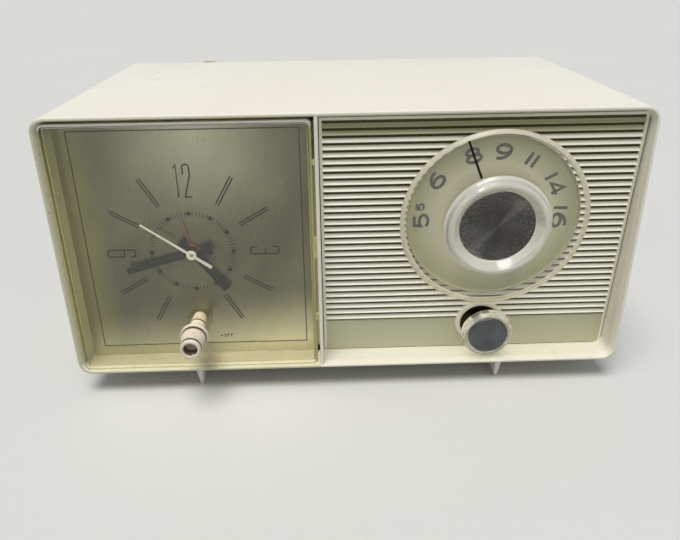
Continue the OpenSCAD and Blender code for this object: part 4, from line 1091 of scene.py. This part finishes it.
def volume_knob():
    """Clear button on a narrow neck, with a seat for its metal disc."""
    r, seat_r, neck = 13.2, VOLUME_SEAT_R, 6.5
    low, top, seat, milky_from = 4, 14, 12.7, 12.2
    section = [
        (KNOB_BORE, low), (neck, low, 0.4), (neck, 7.6, 1.0), (r - 1, 8.6, 0.5), (r, 9.4, 0.6), (r, 12, 1.2),
        (r - 1.5, top, 0.8), (seat_r + 0.8, top, 0.6), (seat_r + 0.15, 13, 0.3), (seat_r + 0.15, seat),
        (0, seat), (0, 11.5), (KNOB_BORE, 11.5)]
    bm = bmesh.new()
    turned(bm, section, 128, closed=True)
    bmesh.ops.remove_doubles(bm, verts=bm.verts, dist=1e-5)
    paint(bm, lambda middle: 1 if middle.z > milky_from and middle.xy.length > seat_r else 0)
    piece("volume_cup", bm, ("skirt_plastic", "milky_plastic"), "volume", VOLUME, "volume_knob",
          40)


# Back, seen from behind: x to the viewer's right, y up and z out of the cover

BACK = Matrix(((-1, 0, 0), (0, 0, 1), (0, 1, 0))).to_4x4()
BACK.translation = CASE @ Vector((0, DEEP * MM, 0))
COVER_HALF, COVER_INSET, COVER_T, COVER_R = HALF_W - TAPER, 1.6, 2.4, 5.5
VENT_W, VENT_PITCH, VENT_R = 2.4, 6.0, 1.1
VENTS = ((-30.0, 22, 60.0, 53.0), (CLOCK_AT.x - 20.0, 7, 12.0, 26.0))  # first x, count, foot and height
SHAFT_HOLE = 3.3
GLAND_AT, GLAND_HOLE = (40.0, 30.0), 6.1
SCREW_INSET, SCREW_R, SCREW_HEAD_R, SCREW_HEAD_T, SCREW_L = 6.2, 1.45, 3.2, 2.0, 9.0
SLOT_HALF, DOME_STEPS = 0.42, 20
DOME = ((0.85, 3.05), (1.3, 2.85), (1.7, 2.4), (SCREW_HEAD_T, 1.6))  # height and radius
BOARD_AT, BOARD_SIZE, BOARD_INSET, BOARD_TOP = (10.0, 62.0), (112.0, 72.0), 5.0, 13.6


def rear_cover():
    """Pressed fibreboard back with rounded corners, rows of vents and holes for shafts and cord."""
    half = COVER_HALF - COVER_INSET
    outline = rectangle(-half, COVER_INSET, half, TALL - COVER_INSET, COVER_R)
    holes = []
    for first, count, bottom, tall in VENTS:
        for k in range(count):
            x = -(first + VENT_PITCH * k) - VENT_W
            holes.append(rectangle(x, bottom, x + VENT_W, bottom + tall, VENT_R, 3))
    for place in (TIME_SET, ALARM_SET):
        at = to_case(place.translation)
        holes.append(circle(-at.x, at.z, SHAFT_HOLE, 32))
    holes.append(circle(-GLAND_AT[0], GLAND_AT[1], GLAND_HOLE, 40))
    bm = bmesh.new()
    slab(bm, outline, 0, COVER_T, holes)
    piece("back_board", bm, "fibreboard", "cabinet", BACK, "rear_cover", 40)


def screw(bm, place, turn):
    """Domed screw with a slot across its head."""
    rim, floor = 0.6, 0.9
    one = bmesh.new()
    turned(one, [(0, -SCREW_L), (SCREW_R - 0.4, -SCREW_L), (SCREW_R, -SCREW_L + 1), (SCREW_R, 0),
                 (SCREW_HEAD_R, 0), (SCREW_HEAD_R, rim, 0.2), (SCREW_HEAD_R - 0.2, floor), (0, floor)], 40, 3)
    for side in (1, -1):
        rings = []
        for z, r in DOME:
            start = math.asin(SLOT_HALF / r)
            angles = [start + (math.pi - 2 * start) * k / DOME_STEPS for k in range(DOME_STEPS + 1)]
            rings.append([one.verts.new((r * math.cos(a), side * r * math.sin(a), z)) for a in angles])
        loft(one, rings)
    bmesh.ops.transform(one, matrix=place @ Matrix.Rotation(math.radians(turn), 4, "Z"), verts=one.verts)
    made = bpy.data.meshes.new("one_screw")
    one.to_mesh(made)
    one.free()
    bm.from_mesh(made)
    bpy.data.meshes.remove(made)


def case_screws():
    """Four screws that hold the back and four that hold the circuit board."""
    bm = bmesh.new()
    upright = Matrix.Rotation(-math.pi / 2, 4, "X")
    half = COVER_HALF - SCREW_INSET
    places = [Matrix.Translation((x, DEEP + COVER_T, z)) @ upright
              for x in (-half, half) for z in (SCREW_INSET, TALL - SCREW_INSET)]
    places += [Matrix.Translation((BOARD_AT[0] + x, BOARD_AT[1] + y, BOARD_TOP))
               for x in (BOARD_INSET, BOARD_SIZE[0] - BOARD_INSET)
               for y in (BOARD_INSET, BOARD_SIZE[1] - BOARD_INSET)]
    for place in places:
        screw(bm, place, random.uniform(0, 180))
    piece("slotted_screws", bm, "steel", "cabinet", CASE, "case_screws", 40)


def setting_knob(name, node, body, place):
    """Fluted finger knob behind the rear cover."""
    flutes, flute_deep, boss_r, boss_t, dish = 18, 0.45, 4.8, 3.0, 0.6
    low, high = (to_case(corner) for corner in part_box(node))
    r = (high.x - low.x) / 2
    origin = to_case(place.translation).y
    inner, outer = origin - low.y, origin - high.y
    rim = inner - boss_t

    def fluted(reach, z, angle):
        on_rim = reach > r - 0.7 and outer + 1.0 < z < inner - 3.4
        return -flute_deep * max(0.0, math.cos(flutes * angle)) ** 2 if on_rim else 0.0

    section = [(0, inner), (boss_r, inner, 0.3), (boss_r, rim), (r, rim, 0.6), (r, rim - 0.6), (r, outer + 1.2),
               (r, outer, 0.9), (r - 3, outer, 0.5), (r - 3.4, outer + dish), (0, outer + dish)]
    bm = bmesh.new()
    turned(bm, section, 144, ripple=fluted)
    piece(name, bm, "ivory_plastic", body, place, node, 45)


# Stage, light and camera, in metres

FLOOR_HALF = 8.0
SKY, SKY_ON_OBJECT, SKY_SEEN = (0.96, 0.98, 1.0, 1), 0.29, 0.7
KEY_ENERGY, KEY_ANGLE, KEY_WAY, KEY_COLOUR = 2.4, 32, (0.13, 0.32, -1.0), (1.0, 0.985, 0.95)
FILL_POWER, FILL_SIZE, FILL_COLOUR = 1.2, 0.8, (0.97, 0.985, 1.0)
FILL_AT, FILL_AIM = Vector((0.9, -1.0, 0.7)), Vector((0, 0, 0.08))


def stage():
    """Pale floor that throws only part of its light back on the object."""
    bm = bmesh.new()
    outline = rectangle(-FLOOR_HALF, -FLOOR_HALF, FLOOR_HALF, FLOOR_HALF)
    bm.faces.new([bm.verts.new((*corner, 0)) for corner in outline])
    mesh = bpy.data.meshes.new("floor")
    bm.to_mesh(mesh)
    bm.free()
    f = Finish("floor_paper")
    paper = f.ramp(f.noise(3, 2), (0.3, (0.675, 0.675, 0.665)), (0.7, (0.69, 0.69, 0.68)))
    f.tint(f.blend(f.seen(), (0.40, 0.40, 0.39), paper))
    f.gloss(f.noise(40, 3), 0.7, 0.85)
    mesh.materials.append(f.material)
    put("floor", mesh)


def lamp(name, kind, energy, colour, way):
    """Lamp that shines along a direction."""
    data = bpy.data.lights.new(name, kind)
    data.energy, data.color = energy, colour
    obj = put(name, data)
    obj.rotation_euler = Vector(way).to_track_quat("-Z", "Y").to_euler()
    return obj


def light():
    """Even pale surroundings, a broad key from above and a weak fill from the front right."""
    world = bpy.data.worlds.new("studio")
    world.use_nodes = True
    sky = Nodes(world.node_tree)
    background = world.node_tree.nodes["Background"].inputs
    sky.feed(background["Color"], SKY)
    sky.feed(background["Strength"], sky.spread(sky.seen(), SKY_ON_OBJECT, SKY_SEEN, 0.0, 1.0))
    bpy.context.scene.world = world
    key = lamp("key", "SUN", KEY_ENERGY, KEY_COLOUR, KEY_WAY)
    key.data.angle = math.radians(KEY_ANGLE)
    fill_lamp = lamp("fill", "AREA", FILL_POWER, FILL_COLOUR, FILL_AIM - FILL_AT)
    fill_lamp.location = FILL_AT
    fill_lamp.data.shape = "SQUARE"
    fill_lamp.data.size = FILL_SIZE


LENS, SENSOR = 35.67, 36
TILT, PAN, ROLL = 25.718, -1.373, -1.448
EYE = Vector((-12.39, -295.6, 198.74))  # millimetres from the rim and the cabinet floor


def camera():
    """Camera solved from the cabinet's outline in the photograph."""
    look = Matrix(((1, 0, 0), (0, 0, -1), (0, 1, 0)))
    for angle, axis in ((TILT, "X"), (PAN, "Y"), (ROLL, "Z")):
        look = Matrix.Rotation(math.radians(angle), 3, axis) @ look
    right, down, ahead = look
    data = bpy.data.cameras.new("camera")
    data.sensor_width, data.lens = SENSOR, LENS
    obj = put("camera", data)
    obj.matrix_world = Matrix((right, -down, -ahead)).transposed().to_4x4()
    obj.matrix_world.translation = CASE @ (EYE * MM)
    bpy.context.scene.camera = obj


cabinet()
foot("left_foot")
foot("right_foot")
louvre_panel()
gap_shade_sheet()
crystal()
dial()
dial_print()
for shape in HANDS:
    hand(*shape)
selector_grip()
selector_stem()
scale()
tuning_knob()
pointer()
spun_disc("tuning_disc", "tuning_insert", "tuning", TUNING, INSERT_R, 14.0, "insert_metal")
volume_knob()
spun_disc("volume_disc", "volume_insert", "volume", VOLUME, VOLUME_SEAT_R, 12.8, "volume_metal")
rear_cover()
case_screws()
setting_knob("time_set_grip", "time_set_knob", "time_set", TIME_SET)
setting_knob("alarm_set_grip", "alarm_set_knob", "alarm_set", ALARM_SET)
stage()
light()
camera()
bpy.context.scene.view_settings.view_transform = "Standard"
